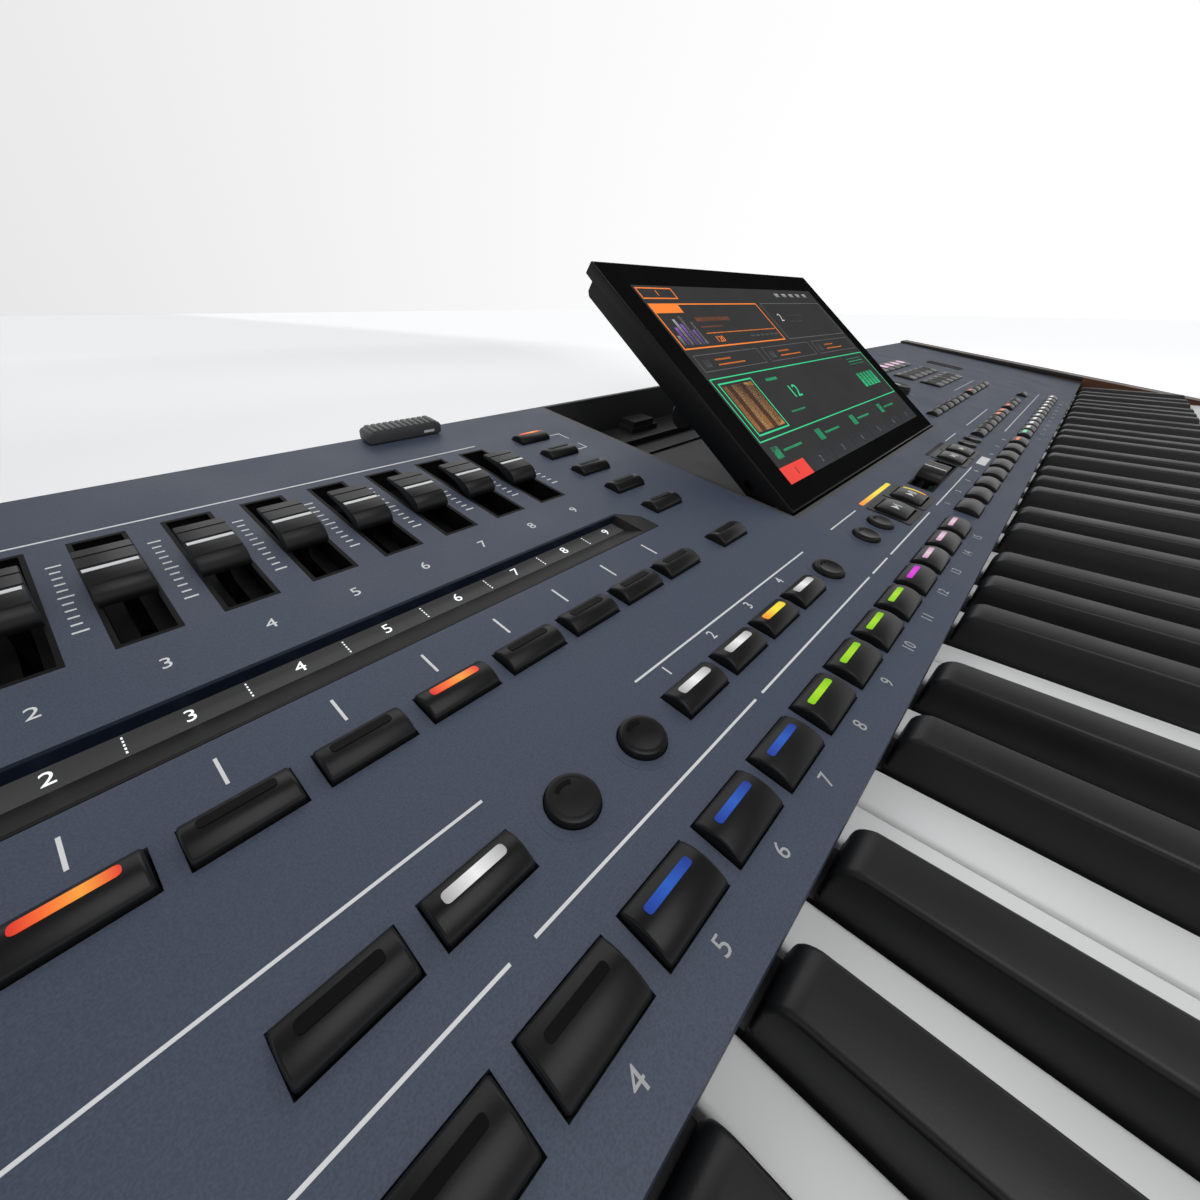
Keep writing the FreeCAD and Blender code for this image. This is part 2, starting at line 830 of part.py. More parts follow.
# Keyboard chassis
def chassis_front():
    return key_front_y + chassis_front_inset


def chassis_rear():
    return pivot_y + chassis_rear_reach


def bracket_places():
    places = [keys_left + key_arm_width / 2, keys_right - key_arm_width / 2]
    for note in all_notes:
        if note % 12 == 5:
            places.append(octave_x(note) + 3 * white_pitch)
    return places


def keybed_chassis():
    plate_top = chassis_height + chassis_plate
    pieces = [box(keys_left, keys_right, chassis_front(), chassis_rear(), chassis_height, plate_top)]
    for y in (chassis_front(), chassis_rear() - chassis_rail):
        pieces.append(box(keys_left, keys_right, y, y + chassis_rail, floor_top, chassis_height))
    for x in bracket_places():
        pieces.append(box(x - bracket_thickness / 2, x + bracket_thickness / 2, pivot_y - bracket_width / 2,
                          pivot_y + bracket_width / 2, plate_top, pivot_height + bracket_cap))
    contact_y = pivot_y - contact_distance
    span = keys_right - keys_left - 2 * screw_inset
    for i in range(contact_post_count):
        x = keys_left + screw_inset + i * span / (contact_post_count - 1)
        pieces.append(box(x - post_size / 2, x + post_size / 2, contact_y - post_size / 2,
                          contact_y + post_size / 2, plate_top, contact_height))
    chassis = fuse(pieces)
    bore = rod(pivot_radius + running_gap, Vector(keys_left - cut_overrun, pivot_y, pivot_height),
               Vector(keys_right + cut_overrun, pivot_y, pivot_height))
    holes = [rod(screw_radius + screw_gap, Vector(x, y, floor_top - cut_overrun),
                 Vector(x, y, foot_height + screw_length + screw_gap)) for x, y in screw_places()]
    return chassis.cut(bore).cut(Part.makeCompound(holes))


def key_pivot_rod():
    return rod(pivot_radius, Vector(keys_left, pivot_y, pivot_height),
               Vector(keys_right, pivot_y, pivot_height))


def key_contact_board():
    y = pivot_y - contact_distance
    return box(keys_left, keys_right, y - contact_width / 2, y + contact_width / 2, contact_height,
               contact_height + board_thickness)


# Boards and supply inside the case
def main_board():
    return box(main_board_left, main_board_left + main_board_length, board_front, board_rear,
               main_board_height, main_board_height + board_thickness)


def power_supply():
    return box(supply_left, supply_left + supply_length, board_front, supply_rear, floor_top,
               floor_top + supply_height)


# Buttons
def crown_profile(v, depth):
    """Side profile of a crowned button top, from its front edge to its rear edge."""
    crown = button_rise - button_side
    return [(v + share * depth, button_side + rise * crown) for share, rise in crown_shares]


def push_button(x, v, width, depth):
    flange_top = -panel_thickness - button_stop
    flange_low = flange_top - button_flange_thickness
    half_v = depth / 2
    profile = [(v - half_v, flange_low)] + crown_profile(v, depth) + [(v + half_v, flange_low)]
    cap = prism(profile, x - width / 2, x + width / 2)
    flange = box(x - width / 2 - button_flange, x + width / 2 + button_flange, v - half_v - button_flange,
                 v + half_v + button_flange, flange_low, flange_top)
    return fuse([cap, flange, button_post(x, v, flange_low)])


def round_button(x, v):
    flange_top = -panel_thickness - button_stop
    flange_low = flange_top - button_flange_thickness
    cap = rod(round_radius, Vector(x, v, flange_low), Vector(x, v, button_rise))
    flange = rod(round_radius + round_gap + button_flange, Vector(x, v, flange_low), Vector(x, v, flange_top))
    return fuse([cap, flange, button_post(x, v, flange_low)])


def button_post(x, v, top):
    half = button_stem / 2
    low = -board_depth + button_travel + 2 * button_stop
    return box(x - half, x + half, v - half, v + half, low, top)


def button_group(name):
    buttons = []
    for places, width, depth in button_kinds[name]:
        buttons += [push_button(x, v, width, depth) for x, v in places]
    buttons += [round_button(x, v) for x, v in round_kinds.get(name, [])]
    return [on_panel(button) for button in buttons]


# Faders
def slot_tray(x, v, length_x, length_v, channel_x, channel_v):
    """A sunk tray with a channel in its floor for the fader's lever."""
    wall = slot_wall
    outer = box(x - length_x / 2 - wall, x + length_x / 2 + wall, v - length_v / 2 - wall,
                v + length_v / 2 + wall, -slot_depth - wall, 0)
    inner = box(x - length_x / 2, x + length_x / 2, v - length_v / 2, v + length_v / 2,
                -slot_depth, cut_overrun)
    channel = box(x - channel_x / 2, x + channel_x / 2, v - channel_v / 2, v + channel_v / 2,
                  -slot_depth - wall - cut_overrun, 0)
    return outer.cut(inner).cut(channel)


def slot_trays():
    trays = [slot_tray(fader_x(i), fader_row, slot_width, slot_length, slot_channel, slot_channel_length)
             for i in range(fader_count)]
    trays.append(slot_tray(balance_x, pad_row, balance_length, slot_width,
                           balance_length - 2 * lever_length, slot_channel))
    return [on_panel(tray) for tray in trays]


def pot(x, v, length_x, length_v, channel_x, channel_v):
    top = -slot_depth - slot_wall
    body = box(x - length_x / 2, x + length_x / 2, v - length_v / 2, v + length_v / 2, top - pot_height, top)
    channel = box(x - channel_x / 2, x + channel_x / 2, v - channel_v / 2, v + channel_v / 2,
                  top - lever_reach, cut_overrun)
    return body.cut(channel)


def balance_pot():
    """A flat track between the balance fader's tray and the board under it."""
    top = -slot_depth - slot_wall
    channel_x = balance_length / 2 - lever_length
    channel_v = slot_channel / 2
    track = box(balance_x - balance_length / 2, balance_x + balance_length / 2, pad_row - pot_width / 2,
                pad_row + pot_width / 2, -board_depth, top)
    channel = box(balance_x - channel_x, balance_x + channel_x, pad_row - channel_v, pad_row + channel_v,
                  -board_depth - cut_overrun, cut_overrun)
    return track.cut(channel)


def fader_bodies():
    bodies = [pot(fader_x(i), fader_row, pot_width, pot_length, slot_channel, slot_channel_length)
              for i in range(fader_count)]
    bodies.append(balance_pot())
    half = knob_pot_size / 2
    rotary = box(knob_x - half, knob_x + half, knob_row - half, knob_row + half, -knob_shaft_length,
                 -panel_thickness)
    bush = rod(knob_shaft_radius + running_gap, Vector(knob_x, knob_row, -knob_shaft_length - cut_overrun),
               Vector(knob_x, knob_row, cut_overrun))
    bodies.append(rotary.cut(bush))
    return [on_panel(body) for body in bodies]


def cap_profile(v):
    points = []
    for along, up in cap_shares:
        points.append((v + along * cap_length, up * cap_rise))
    return points


def fader_cap(index):
    x = fader_x(index)
    cap = prism(cap_profile(fader_row), x - cap_width / 2, x + cap_width / 2)
    lever_v = fader_row - lever_length / 2
    lever = box(x - lever_width / 2, x + lever_width / 2, lever_v, lever_v + lever_length,
                -slot_depth - slot_wall - lever_reach / 2, lever_share * cap_rise)
    return on_panel(fuse([cap, lever]))


def balance_cap():
    """A fader cap that lies along X, with its nose to the left."""
    x = balance_x - balance_offset
    half = cap_width / 2
    profile = [Vector(x + along, pad_row - half, height) for along, height in cap_profile(0)]
    cap = Part.Face(Part.makePolygon(profile + profile[:1])).extrude(Vector(0, cap_width, 0))
    lever = box(x - lever_length / 2, x + lever_length / 2, pad_row - lever_width / 2,
                pad_row + lever_width / 2, -board_depth + seat_gap, lever_share * cap_rise)
    return on_panel(fuse([cap, lever]))


# Strip display above the row of nine buttons
def strip_outline(grow):
    left = column_x(0) - strip_overhang - grow
    right = column_x(strip_count - 1) + strip_overhang + grow
    front = strip_front - grow
    rear = strip_front + strip_depth + grow
    return [(left, front), (right, front), (right, rear - strip_corner), (right - strip_corner, rear),
            (left + strip_corner, rear), (left, rear - strip_corner)]


def strip_window():
    left = column_x(0) - strip_overhang + strip_glass_end
    right = column_x(strip_count - 1) + strip_overhang - strip_glass_end
    rear = strip_front + strip_depth - strip_glass_rear
    return rectangle(left, right, strip_front + strip_glass_front, rear)


def strip_bezel():
    outer = slab(strip_outline(0), -strip_thickness, 0)
    left, right = strip_outline(-slot_wall)[0][0], strip_outline(-slot_wall)[1][0]
    mouth = rectangle(left + strip_corner, right - strip_corner, strip_front + slot_wall,
                      strip_front + strip_depth - slot_wall)
    recess = tapered(strip_window(), mouth, -strip_recess, 0)
    pocket = slab(strip_window(), -strip_thickness - cut_overrun, -strip_recess)
    return on_panel(outer.cut(recess).cut(pocket))


def strip_display():
    return on_panel(slab(strip_window(), -strip_recess - strip_glass_thickness, -strip_recess))


# Display and its well
def case_space(rear):
    return box(-inner_x, inner_x, front_y, rear, floor_top, 2 * cheek_rear_height)


def display_well():
    outer = box(well_left - well_wall, well_right + well_wall, well_front - well_wall,
                panel_length + well_depth, -well_depth - well_wall, 0)
    inner = box(well_left, well_right, well_front, panel_length + well_depth, -well_depth, cut_overrun)
    hollow = on_panel(inner).common(case_space(rear_y - well_wall))
    tub = on_panel(outer).common(case_space(rear_y)).cut(hollow)
    floor_n = -well_depth
    shelf_n = floor_n + shelf_height
    shelf_v = panel_length - shelf_length
    shelf = on_panel(box(well_left, well_right, shelf_v, panel_length, floor_n, shelf_n)).common(case_space(rear_y))
    catch_x = well_left + catch_offset
    catch_v = shelf_v + catch_gap
    catch_n = shelf_n + catch_height
    catch = box(catch_x, catch_x + catch_width, catch_v, catch_v + catch_length, shelf_n, catch_n)
    catch_top = box(catch_x + catch_step, catch_x + catch_step + catch_top_width, catch_v + catch_step / 2,
                    catch_v + catch_length, catch_n, catch_n + catch_top_height)
    channel_v = shelf_v - channel_gap - channel_width
    channel = box(well_left, well_right, channel_v, channel_v + channel_width, floor_n - channel_depth, floor_n)
    bore = rod(hinge_pin_radius, Vector(well_left - cut_overrun - well_wall, axis_v, axis_n),
               Vector(well_right + cut_overrun + well_wall, axis_v, axis_n))
    whole = fuse([tub, shelf, on_panel(catch), on_panel(catch_top)])
    return whole.cut(on_panel(channel)).cut(on_panel(bore))


def display_hinge_pins():
    reach = hinge_pin_length - well_wall - well_side_gap
    pins = []
    for side in (-1, 1):
        outside = display_x + side * (display_width / 2 + well_side_gap + well_wall)
        inside = display_x + side * (display_width / 2 - reach)
        pins.append(on_panel(rod(hinge_pin_radius, Vector(outside, axis_v, axis_n),
                                 Vector(inside, axis_v, axis_n))))
    return pins


def on_display(shape):
    """Display coordinates: x from its middle, y up the face, z out of it, from the hinge axis."""
    return on_panel(placed(shape, tilt_place))


def display_span():
    low = -display_axis_up
    front = display_axis_back
    return low, low + display_height, front - display_thickness, front


def display_frame():
    low, high, back, front = display_span()
    half = display_width / 2
    block = box(-half, half, low, high, back, front)
    recess = box(-half + display_rim, half - display_rim, low + display_rim, high - display_rim,
                 front - display_glass_thickness, front + cut_overrun)
    reach = hinge_pin_length - well_wall - well_side_gap + seat_gap
    bores = [rod(hinge_pin_radius + running_gap, Vector(side * (half + cut_overrun), 0, 0),
                 Vector(side * (half - reach), 0, 0)) for side in (-1, 1)]
    notch = box(-half - cut_overrun, half + cut_overrun, high - display_notch_height, high + cut_overrun,
                back - cut_overrun, back + display_notch_depth)
    return on_display(block.cut(recess).cut(notch).cut(Part.makeCompound(bores)))


def display_glass():
    low, high, back, front = display_span()
    half = display_width / 2 - display_rim
    return on_display(box(-half, half, low + display_rim, high - display_rim, front - display_glass_thickness,
                          front))


def display_back():
    low, high, back, front = display_span()
    margin = display_back_margin
    half = display_width / 2 - margin
    wide = rectangle(-half, half, low + margin, high - margin)
    narrow = rectangle(-half + margin, half - margin, low + 2 * margin, high - 2 * margin)
    return on_display(tapered(narrow, wide, back - display_back_depth, back))


# Latch, knob and joystick
def speaker_latch():
    half = latch_length / 2
    top = latch_lift + latch_rise
    cap = box(latch_x - half, latch_x + half, latch_v - latch_depth / 2, latch_v + latch_depth / 2,
              latch_lift, top)
    tongue = box(latch_x - latch_tongue / 2, latch_x + latch_tongue / 2, latch_v - latch_tongue_depth,
                 latch_v, -latch_tongue_drop, latch_lift)
    return on_panel(fuse([cap, tongue]))


def volume_knob():
    cap = rod(knob_radius, Vector(knob_x, knob_row, knob_lift), Vector(knob_x, knob_row, knob_height))
    shaft = rod(knob_shaft_radius, Vector(knob_x, knob_row, -knob_shaft_length),
                Vector(knob_x, knob_row, knob_lift))
    return on_panel(fuse([cap, shaft]))


def joystick_yoke():
    half_x = yoke_length / 2
    half_v = yoke_width / 2
    low = -stick_depth - yoke_height / 2
    outer = box(stick_x - half_x, stick_x + half_x, stick_row - half_v, stick_row + half_v,
                low, low + yoke_height)
    inner = box(stick_x - half_x + yoke_wall, stick_x + half_x - yoke_wall, stick_row - half_v + yoke_wall,
                stick_row + half_v - yoke_wall, low - cut_overrun, low + yoke_height + cut_overrun)
    pins = [rod(yoke_pin_radius, Vector(stick_x + side * (half_x - yoke_wall), stick_row, -stick_depth),
                Vector(stick_x + side * (half_x + yoke_pin_length - ear_gap), stick_row, -stick_depth))
            for side in (-1, 1)]
    bore = rod(stick_pin_radius + running_gap, Vector(stick_x, stick_row - yoke_width, -stick_depth),
               Vector(stick_x, stick_row + yoke_width, -stick_depth))
    return on_panel(fuse([outer.cut(inner)] + pins).cut(bore))


def joystick_stick():
    low = -stick_depth - yoke_height / 2
    shaft = rod(stick_radius, Vector(stick_x, stick_row, low), Vector(stick_x, stick_row, low + stick_length))
    knob_low = low + stick_length - stick_knob_height
    knob = rod(stick_knob_radius, Vector(stick_x, stick_row, knob_low),
               Vector(stick_x, stick_row, knob_low + stick_knob_height))
    rim = [edge for edge in knob.Edges if len(edge.Vertexes) == 1]
    knob = knob.makeFillet(stick_knob_height / 3, rim)
    pin = rod(stick_pin_radius, Vector(stick_x, stick_row - yoke_width / 2, -stick_depth),
              Vector(stick_x, stick_row + yoke_width / 2, -stick_depth))
    return on_panel(fuse([shaft, knob, pin]))


# Write every sub-part
os.makedirs("parts", exist_ok=True)
export("floor_plate", [floor_plate()])
export("case_screws", case_screws())
export("rubber_feet", rubber_feet())
export("end_cheek_left", [end_cheek(-1)])
export("end_cheek_right", [end_cheek(1)])
export("top_panel", [top_panel()])
export("panel_boards", panel_boards())
export("left_block", [left_block()])
export("key_slip", [key_slip()])
export("rear_panel", [rear_panel()])
export("rear_sockets", rear_sockets())
export("power_inlet", [power_inlet()])
export("power_button", [power_button()])
export("keybed_chassis", [keybed_chassis()])
export("key_pivot_rod", [key_pivot_rod()])
export("key_contact_board", [key_contact_board()])
export("main_board", [main_board()])
export("power_supply", [power_supply()])
for step, name in enumerate(note_names):
    export("keys_" + name, key_group(step))
for name in button_kinds:
    export(name, button_group(name))
export("fader_trays", slot_trays())
export("fader_bodies", fader_bodies())
for i in range(fader_count):
    export("fader_cap_" + str(i + 1), [fader_cap(i)])
export("balance_cap", [balance_cap()])
export("strip_bezel", [strip_bezel()])
export("strip_display", [strip_display()])
export("display_well", [display_well()])
export("display_hinge_pins", display_hinge_pins())
export("display_frame", [display_frame()])
export("display_glass", [display_glass()])
export("display_back", [display_back()])
export("speaker_latch", [speaker_latch()])
export("volume_knob", [volume_knob()])
export("joystick_yoke", [joystick_yoke()])
export("joystick_stick", [joystick_stick()])
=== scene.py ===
import json
import math

import bmesh
import bpy
from mathutils import Matrix, Vector


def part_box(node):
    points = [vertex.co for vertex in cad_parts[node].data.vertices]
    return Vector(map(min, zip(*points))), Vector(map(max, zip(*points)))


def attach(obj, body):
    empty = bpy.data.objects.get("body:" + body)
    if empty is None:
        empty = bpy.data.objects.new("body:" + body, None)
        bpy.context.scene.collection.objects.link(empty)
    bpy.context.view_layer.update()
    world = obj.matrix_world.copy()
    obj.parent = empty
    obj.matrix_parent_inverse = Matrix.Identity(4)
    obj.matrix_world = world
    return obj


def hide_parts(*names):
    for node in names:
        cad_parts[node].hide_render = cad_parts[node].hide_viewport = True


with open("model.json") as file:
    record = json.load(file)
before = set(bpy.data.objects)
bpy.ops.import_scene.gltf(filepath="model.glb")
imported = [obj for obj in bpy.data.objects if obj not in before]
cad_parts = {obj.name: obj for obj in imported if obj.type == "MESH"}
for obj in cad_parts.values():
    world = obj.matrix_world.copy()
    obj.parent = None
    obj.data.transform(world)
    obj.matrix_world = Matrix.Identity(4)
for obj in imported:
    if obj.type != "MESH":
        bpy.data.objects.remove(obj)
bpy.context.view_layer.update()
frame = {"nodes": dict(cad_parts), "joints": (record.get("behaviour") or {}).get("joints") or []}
scene = bpy.context.scene
joints = {joint["name"]: joint for joint in frame["joints"]}

# Places of the sloped panel and of the tilted display, in metres
up_panel = Vector(joints["slide_fader_1"]["axis"])
slope = math.atan2(up_panel.z, up_panel.y)
panel_low, panel_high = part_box("top_panel")
panel_rise = (panel_high.y - panel_low.y) * math.tan(slope)
panel = Matrix.Translation((0.0, panel_low.y, panel_high.z - panel_rise)) @ Matrix.Rotation(slope, 4, "X")
hinge = Vector(joints["tilt_display"]["pos_m"])
tilt = -math.radians(joints["tilt_display"]["range_deg"][0])
display = Matrix.Translation(hinge) @ Matrix.Rotation(slope + tilt, 4, "X")
level = Matrix.Identity(4)

# Sizes of the keys
key_gap = 0.0009
key_round = 0.0013
key_widening = 0.0002
white_low = 0.062
lip_low = 0.056
lip_thickness = 0.004
lip_inset = 0.0003
lip_setback = 0.0002
lip_overlap = 0.001
lip_round = 0.0008
arm_width = 0.0070
arm_low = 0.057
arm_high = 0.069
arm_round = 0.0005
tail_end = panel_low.y + 0.012
tail_low = arm_high - 0.001
tail_overlap = 0.002
tail_inset = 0.0002
tail_round = 0.0006
black_low = 0.068
black_shoulder = 0.0792
black_tail_high = 0.077
black_rear = panel_low.y - 0.0008
black_top_width = 0.0113
black_front_slope = 0.009
black_rear_slope = 0.0006
black_rear_round = 0.005
black_round = 0.0011
shoulder_clear = 0.0001

# Sizes of the buttons
button_flange = 0.0007
button_rise = 0.00275
button_side = 0.0012
button_skirt = -0.0015
button_round = 0.00055
window_depth = 0.0003
window_proud = 0.00008
window_width = 0.00175
window_corner = 0.34
wide_window = 0.0022
keypad_window = 0.0085
keypad_rise = 0.0017
round_radius = 0.0052
round_button_width = 0.0125
round_tolerance = 0.001
round_box_width = 0.0145
round_box_depth = 0.0125
round_mark_radius = round_radius * 0.6
round_mark_width = 0.0010
round_mark_height = 0.00129
round_mark_turn = math.radians(55.0)
round_mark_sweep = math.radians(70.0)
collar_gap = 0.00025
collar_reach = 0.0022
collar_height = 0.00005
ring_sink = 0.0002

# Sizes of the player section
square_button_width = 0.016
player_rise = 0.0019
player_inset = 0.0011
player_frame = (0.0212, 0.0188)
player_frame_round = 0.0016
player_frame_height = 0.00035
symbol_half = 0.0019
symbol_left = -0.0028
symbol_tip = 0.0004
symbol_stroke = 0.0008
symbol_height = 0.00018
symbol_sink = 0.00012
light_bar = (0.0400, 0.0021)
light_bar_sink = 0.0002
arc_light_reach = 0.8
arc_light_width = 0.0012
arc_light_inset = 0.0020
arc_light_proud = 0.00005

# Sizes of the faders
cap_half = 0.0056
cap_round = 0.0003
cap_line_low = (-cap_half + 0.0004, -0.0021, 0.0054)
cap_line_high = (cap_half - 0.0004, -0.0008, 0.00604)
stem_low = (-0.0012, -0.004, -0.0118)
stem_high = (0.0012, 0.004, 0.0045)
slot_rim = 0.0011
slot_round = 0.0004
slot_frame_sink = 0.0004
slot_frame_height = 0.00043

# Sizes of the printing, with places along the panel's slope
print_depth = 0.00006
capital_share = 0.72
line_width = 0.00058
wide_line = 0.0007
tick_line = 0.0006
row_mark_line = 0.0008
label_patch = 0.0048
style_line_v = 0.0269
front_number_v = 0.0062
fader_number_v = 0.1181
fader_scale_v = 0.1391
fader_scale_length = 0.0309
fader_tick_from = 0.0090
fader_tick_to = 0.0110
fader_tick_extra = 0.0006
strip_mark_from = 0.0809
strip_mark_to = 0.0876
row_mark_from = 0.0035
row_mark_to = 0.0068
dial_tick_near = 0.0112
dial_tick_far = 0.0128
dial_tick_long = 0.0137

# Sizes of the strip display and of the card slot
strip_numeral = 0.0034
dash_half_width = 0.00016
dash_half_length = 0.00026
dash_pitch = 0.0010
strip_wall_reach = 0.0016
strip_wall_gap = 0.0008
card_slot_size = (0.0190, 0.0370)
card_slot_hole = (0.0160, 0.0340)
card_slot_round = 0.0012
card_slot_height = 0.0004

# Sizes of the tilting display
housing_round = 0.0005
glass_sink = 0.00012
glass_margin = 0.0016
glass_round = 0.0009
glass_thickness = 0.0004
boss_radius = 0.0062
boss_length = 0.008
side_slot = (0.0052, 0.0022)
side_slot_round = 0.0009
side_slot_height = 0.0003
patch_sink = 0.00002
patch_lift = 0.00004
title_lift = 0.00006
frame_lift = 0.00008

# Sizes of the latch, the knob and the dark bands of painted shade along the cheeks
latch_ribs = 11
latch_end = 0.002
rib_fall = 0.0006
latch_round = 0.0005
latch_foot_half = 0.005
latch_foot_inset = 0.002
knob_teeth = 24
knob_radius = 0.0090
knob_shaft_radius = 0.003
cheek_front_top = 0.074
cheek_end_gap = 0.0003
shade_band_width = 0.0032
shade_band_drop = 0.0045
shade_band_rise = 0.0002
shade_band_round = 0.0003

# Small distances at which points count as one place
merge_distance = 1e-6
hair = 1e-5


# Shapes
def block(low, high):
    """Closed box between two corners."""
    shape = bmesh.new()
    low = Vector(low)
    high = Vector(high)
    size = Matrix.Diagonal((high - low).to_4d())
    size[3][3] = 1.0
    bmesh.ops.create_cube(shape, size=1.0, matrix=Matrix.Translation((low + high) / 2) @ size)
    return shape


def extruded(points, way):
    """Closed shape from a flat outline that is pulled along a way."""
    shape = bmesh.new()
    face = shape.faces.new([shape.verts.new(point) for point in points])
    pulled = bmesh.ops.extrude_face_region(shape, geom=[face])["geom"]
    moved = [item for item in pulled if isinstance(item, bmesh.types.BMVert)]
    bmesh.ops.translate(shape, verts=moved, vec=way)
    bmesh.ops.recalc_face_normals(shape, faces=shape.faces)
    return shape


def spun(shape, profile, angle, steps):
    """Turns a profile round the upright axis and merges what meets."""
    bmesh.ops.spin(shape, geom=profile, cent=(0, 0, 0), axis=(0, 0, 1), angle=angle, steps=steps,
                   use_merge=angle == math.tau)
    bmesh.ops.remove_doubles(shape, verts=shape.verts, dist=merge_distance)
    bmesh.ops.recalc_face_normals(shape, faces=shape.faces)
    return shape


def turned(points, steps):
    """Closed round shape from a half profile of radius and height."""
    shape = bmesh.new()
    verts = [shape.verts.new((radius, 0.0, height)) for radius, height in points]
    edges = [shape.edges.new(pair) for pair in zip(verts, verts[1:])]
    return spun(shape, verts + edges, math.tau, steps)


def round_edges(shape, edges, radius, segments=2):
    """Rounds the named edges of a shape."""
    bmesh.ops.bevel(shape, geom=edges, offset=radius, offset_type="OFFSET", segments=segments,
                    profile=0.5, affect="EDGES", clamp_overlap=True, material=-1)
    return shape


def sharp_edges(shape, degrees=30.0):
    """Edges of a shape where its faces meet at more than an angle."""
    return [edge for edge in shape.edges if edge.calc_face_angle(0.0) > math.radians(degrees)]


def rounded_block(low, high, radius, segments=2):
    """Box with rounded edges."""
    shape = block(low, high)
    return round_edges(shape, shape.edges[:], radius, segments)


def rounded_plate(width, depth, radius, height, hole=None):
    """Plate with round corners round the origin, and a hole where its width and depth are given."""
    corners = [(-width / 2, -depth / 2, 0.0), (width / 2, -depth / 2, 0.0), (width / 2, depth / 2, 0.0),
               (-width / 2, depth / 2, 0.0)]
    shape = extruded(corners, (0, 0, height))
    upright = [edge for edge in shape.edges if abs(edge.verts[0].co.z - edge.verts[1].co.z) > height / 2]
    round_edges(shape, upright, radius, 4)
    if not hole:
        return shape
    for side in (-1, 1):
        for axis in (0, 1):
            plane = Vector((0, 0, 0))
            plane[axis] = side * hole[axis] / 2
            normal = Vector((0, 0, 0))
            normal[axis] = 1.0
            bmesh.ops.bisect_plane(shape, geom=shape.verts[:] + shape.edges[:] + shape.faces[:],
                                   plane_co=plane, plane_no=normal)
    inner = []
    for face in shape.faces:
        middle = face.calc_center_median()
        if abs(face.normal.z) > 0.9 and abs(middle.x) < hole[0] / 2 and abs(middle.y) < hole[1] / 2:
            inner.append(face)
    bmesh.ops.delete(shape, geom=inner, context="FACES_ONLY")
    bmesh.ops.bridge_loops(shape, edges=[edge for edge in shape.edges if edge.is_boundary])
    bmesh.ops.recalc_face_normals(shape, faces=shape.faces)
    return shape


def ring(inner, outer, height):
    """Flat round ring on the origin, sunk a little."""
    shape = bmesh.new()
    corners = [(inner, -ring_sink), (outer, -ring_sink), (outer, height), (inner, height)]
    verts = [shape.verts.new((radius, 0.0, z)) for radius, z in corners]
    edges = [shape.edges.new((verts[index], verts[(index + 1) % 4])) for index in range(4)]
    return spun(shape, verts + edges, math.tau, 40)


def add(whole, part, place=level, material=0):
    """Joins a copy of one shape to another, at a place and with one of its materials."""
    mesh = bpy.data.meshes.new("part")
    part.to_mesh(mesh)
    mesh.transform(place)
    before = len(whole.faces)
    whole.from_mesh(mesh)
    bpy.data.meshes.remove(mesh)
    whole.faces.ensure_lookup_table()
    for face in whole.faces[before:]:
        face.material_index = material


def on_panel(low, high, height=0.0):
    """Place on the panel in the middle of a box, at a height."""
    return panel @ Matrix.Translation(((low.x + high.x) / 2, (low.y + high.y) / 2, height))


def solids(node, place=level):
    """Corners of the boxes round a node's separate solids, in the coordinates of a place."""
    shape = bmesh.new()
    shape.from_mesh(frame["nodes"][node].data)
    bmesh.ops.remove_doubles(shape, verts=shape.verts, dist=merge_distance)
    shape.transform(place.inverted())
    left = set(shape.verts)
    boxes = []
    while left:
        reached = [left.pop()]
        for vert in reached:
            for edge in vert.link_edges:
                other = edge.other_vert(vert)
                if other in left:
                    left.remove(other)
                    reached.append(other)
        low = Vector([min(vert.co[axis] for vert in reached) for axis in range(3)])
        high = Vector([max(vert.co[axis] for vert in reached) for axis in range(3)])
        boxes.append((low, high))
    shape.free()
    return sorted(boxes, key=lambda box: (round(box[0].y + box[1].y, 3), box[0].x))


def numeral(text, height):
    """Numeral as a thin closed shape round the origin."""
    curve = bpy.data.curves.new("numeral", "FONT")
    curve.body = text
    curve.size = height / capital_share
    curve.align_x = "CENTER"
    curve.align_y = "CENTER"
    curve.resolution_u = 3
    curve.extrude = print_depth / 2
    maker = bpy.data.objects.new("numeral", curve)
    mesh = bpy.data.meshes.new_from_object(maker)
    shape = bmesh.new()
    shape.from_mesh(mesh)
    bpy.data.objects.remove(maker)
    bpy.data.curves.remove(curve)
    bpy.data.meshes.remove(mesh)
    return shape


def piece(name, shape, body, slot, materials, *nodes):
    """Finished piece that rides on a body and stands for CAD nodes."""
    mesh = bpy.data.meshes.new(name)
    shape.to_mesh(mesh)
    shape.free()
    for material in materials:
        mesh.materials.append(material)
    mesh.polygons.foreach_set("use_smooth", [True] * len(mesh.polygons))
    mesh.set_sharp_from_angle(angle=math.radians(32.0))
    made = bpy.data.objects.new(name, mesh)
    scene.collection.objects.link(made)
    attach(made, body)
    if nodes:
        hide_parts(*nodes)
    return made


def dress(material, *nodes):
    """Gives CAD nodes a material."""
    for node in nodes:
        mesh = frame["nodes"][node].data
        mesh.materials.clear()
        mesh.materials.append(material)


# Materials
def fresh(name):
    """New material, with its nodes, its links and its shader."""
    material = bpy.data.materials.new(name)
    material.use_nodes = True
    nodes = material.node_tree.nodes
    return material, nodes, material.node_tree.links, nodes["Principled BSDF"]


def spread(nodes, from_low, from_high, to_low, to_high):
    """Node that stretches one range of values over another."""
    stretched = nodes.new("ShaderNodeMapRange")
    stretched.inputs["From Min"].default_value = from_low
    stretched.inputs["From Max"].default_value = from_high
    stretched.inputs["To Min"].default_value = to_low
    stretched.inputs["To Max"].default_value = to_high
    return stretched


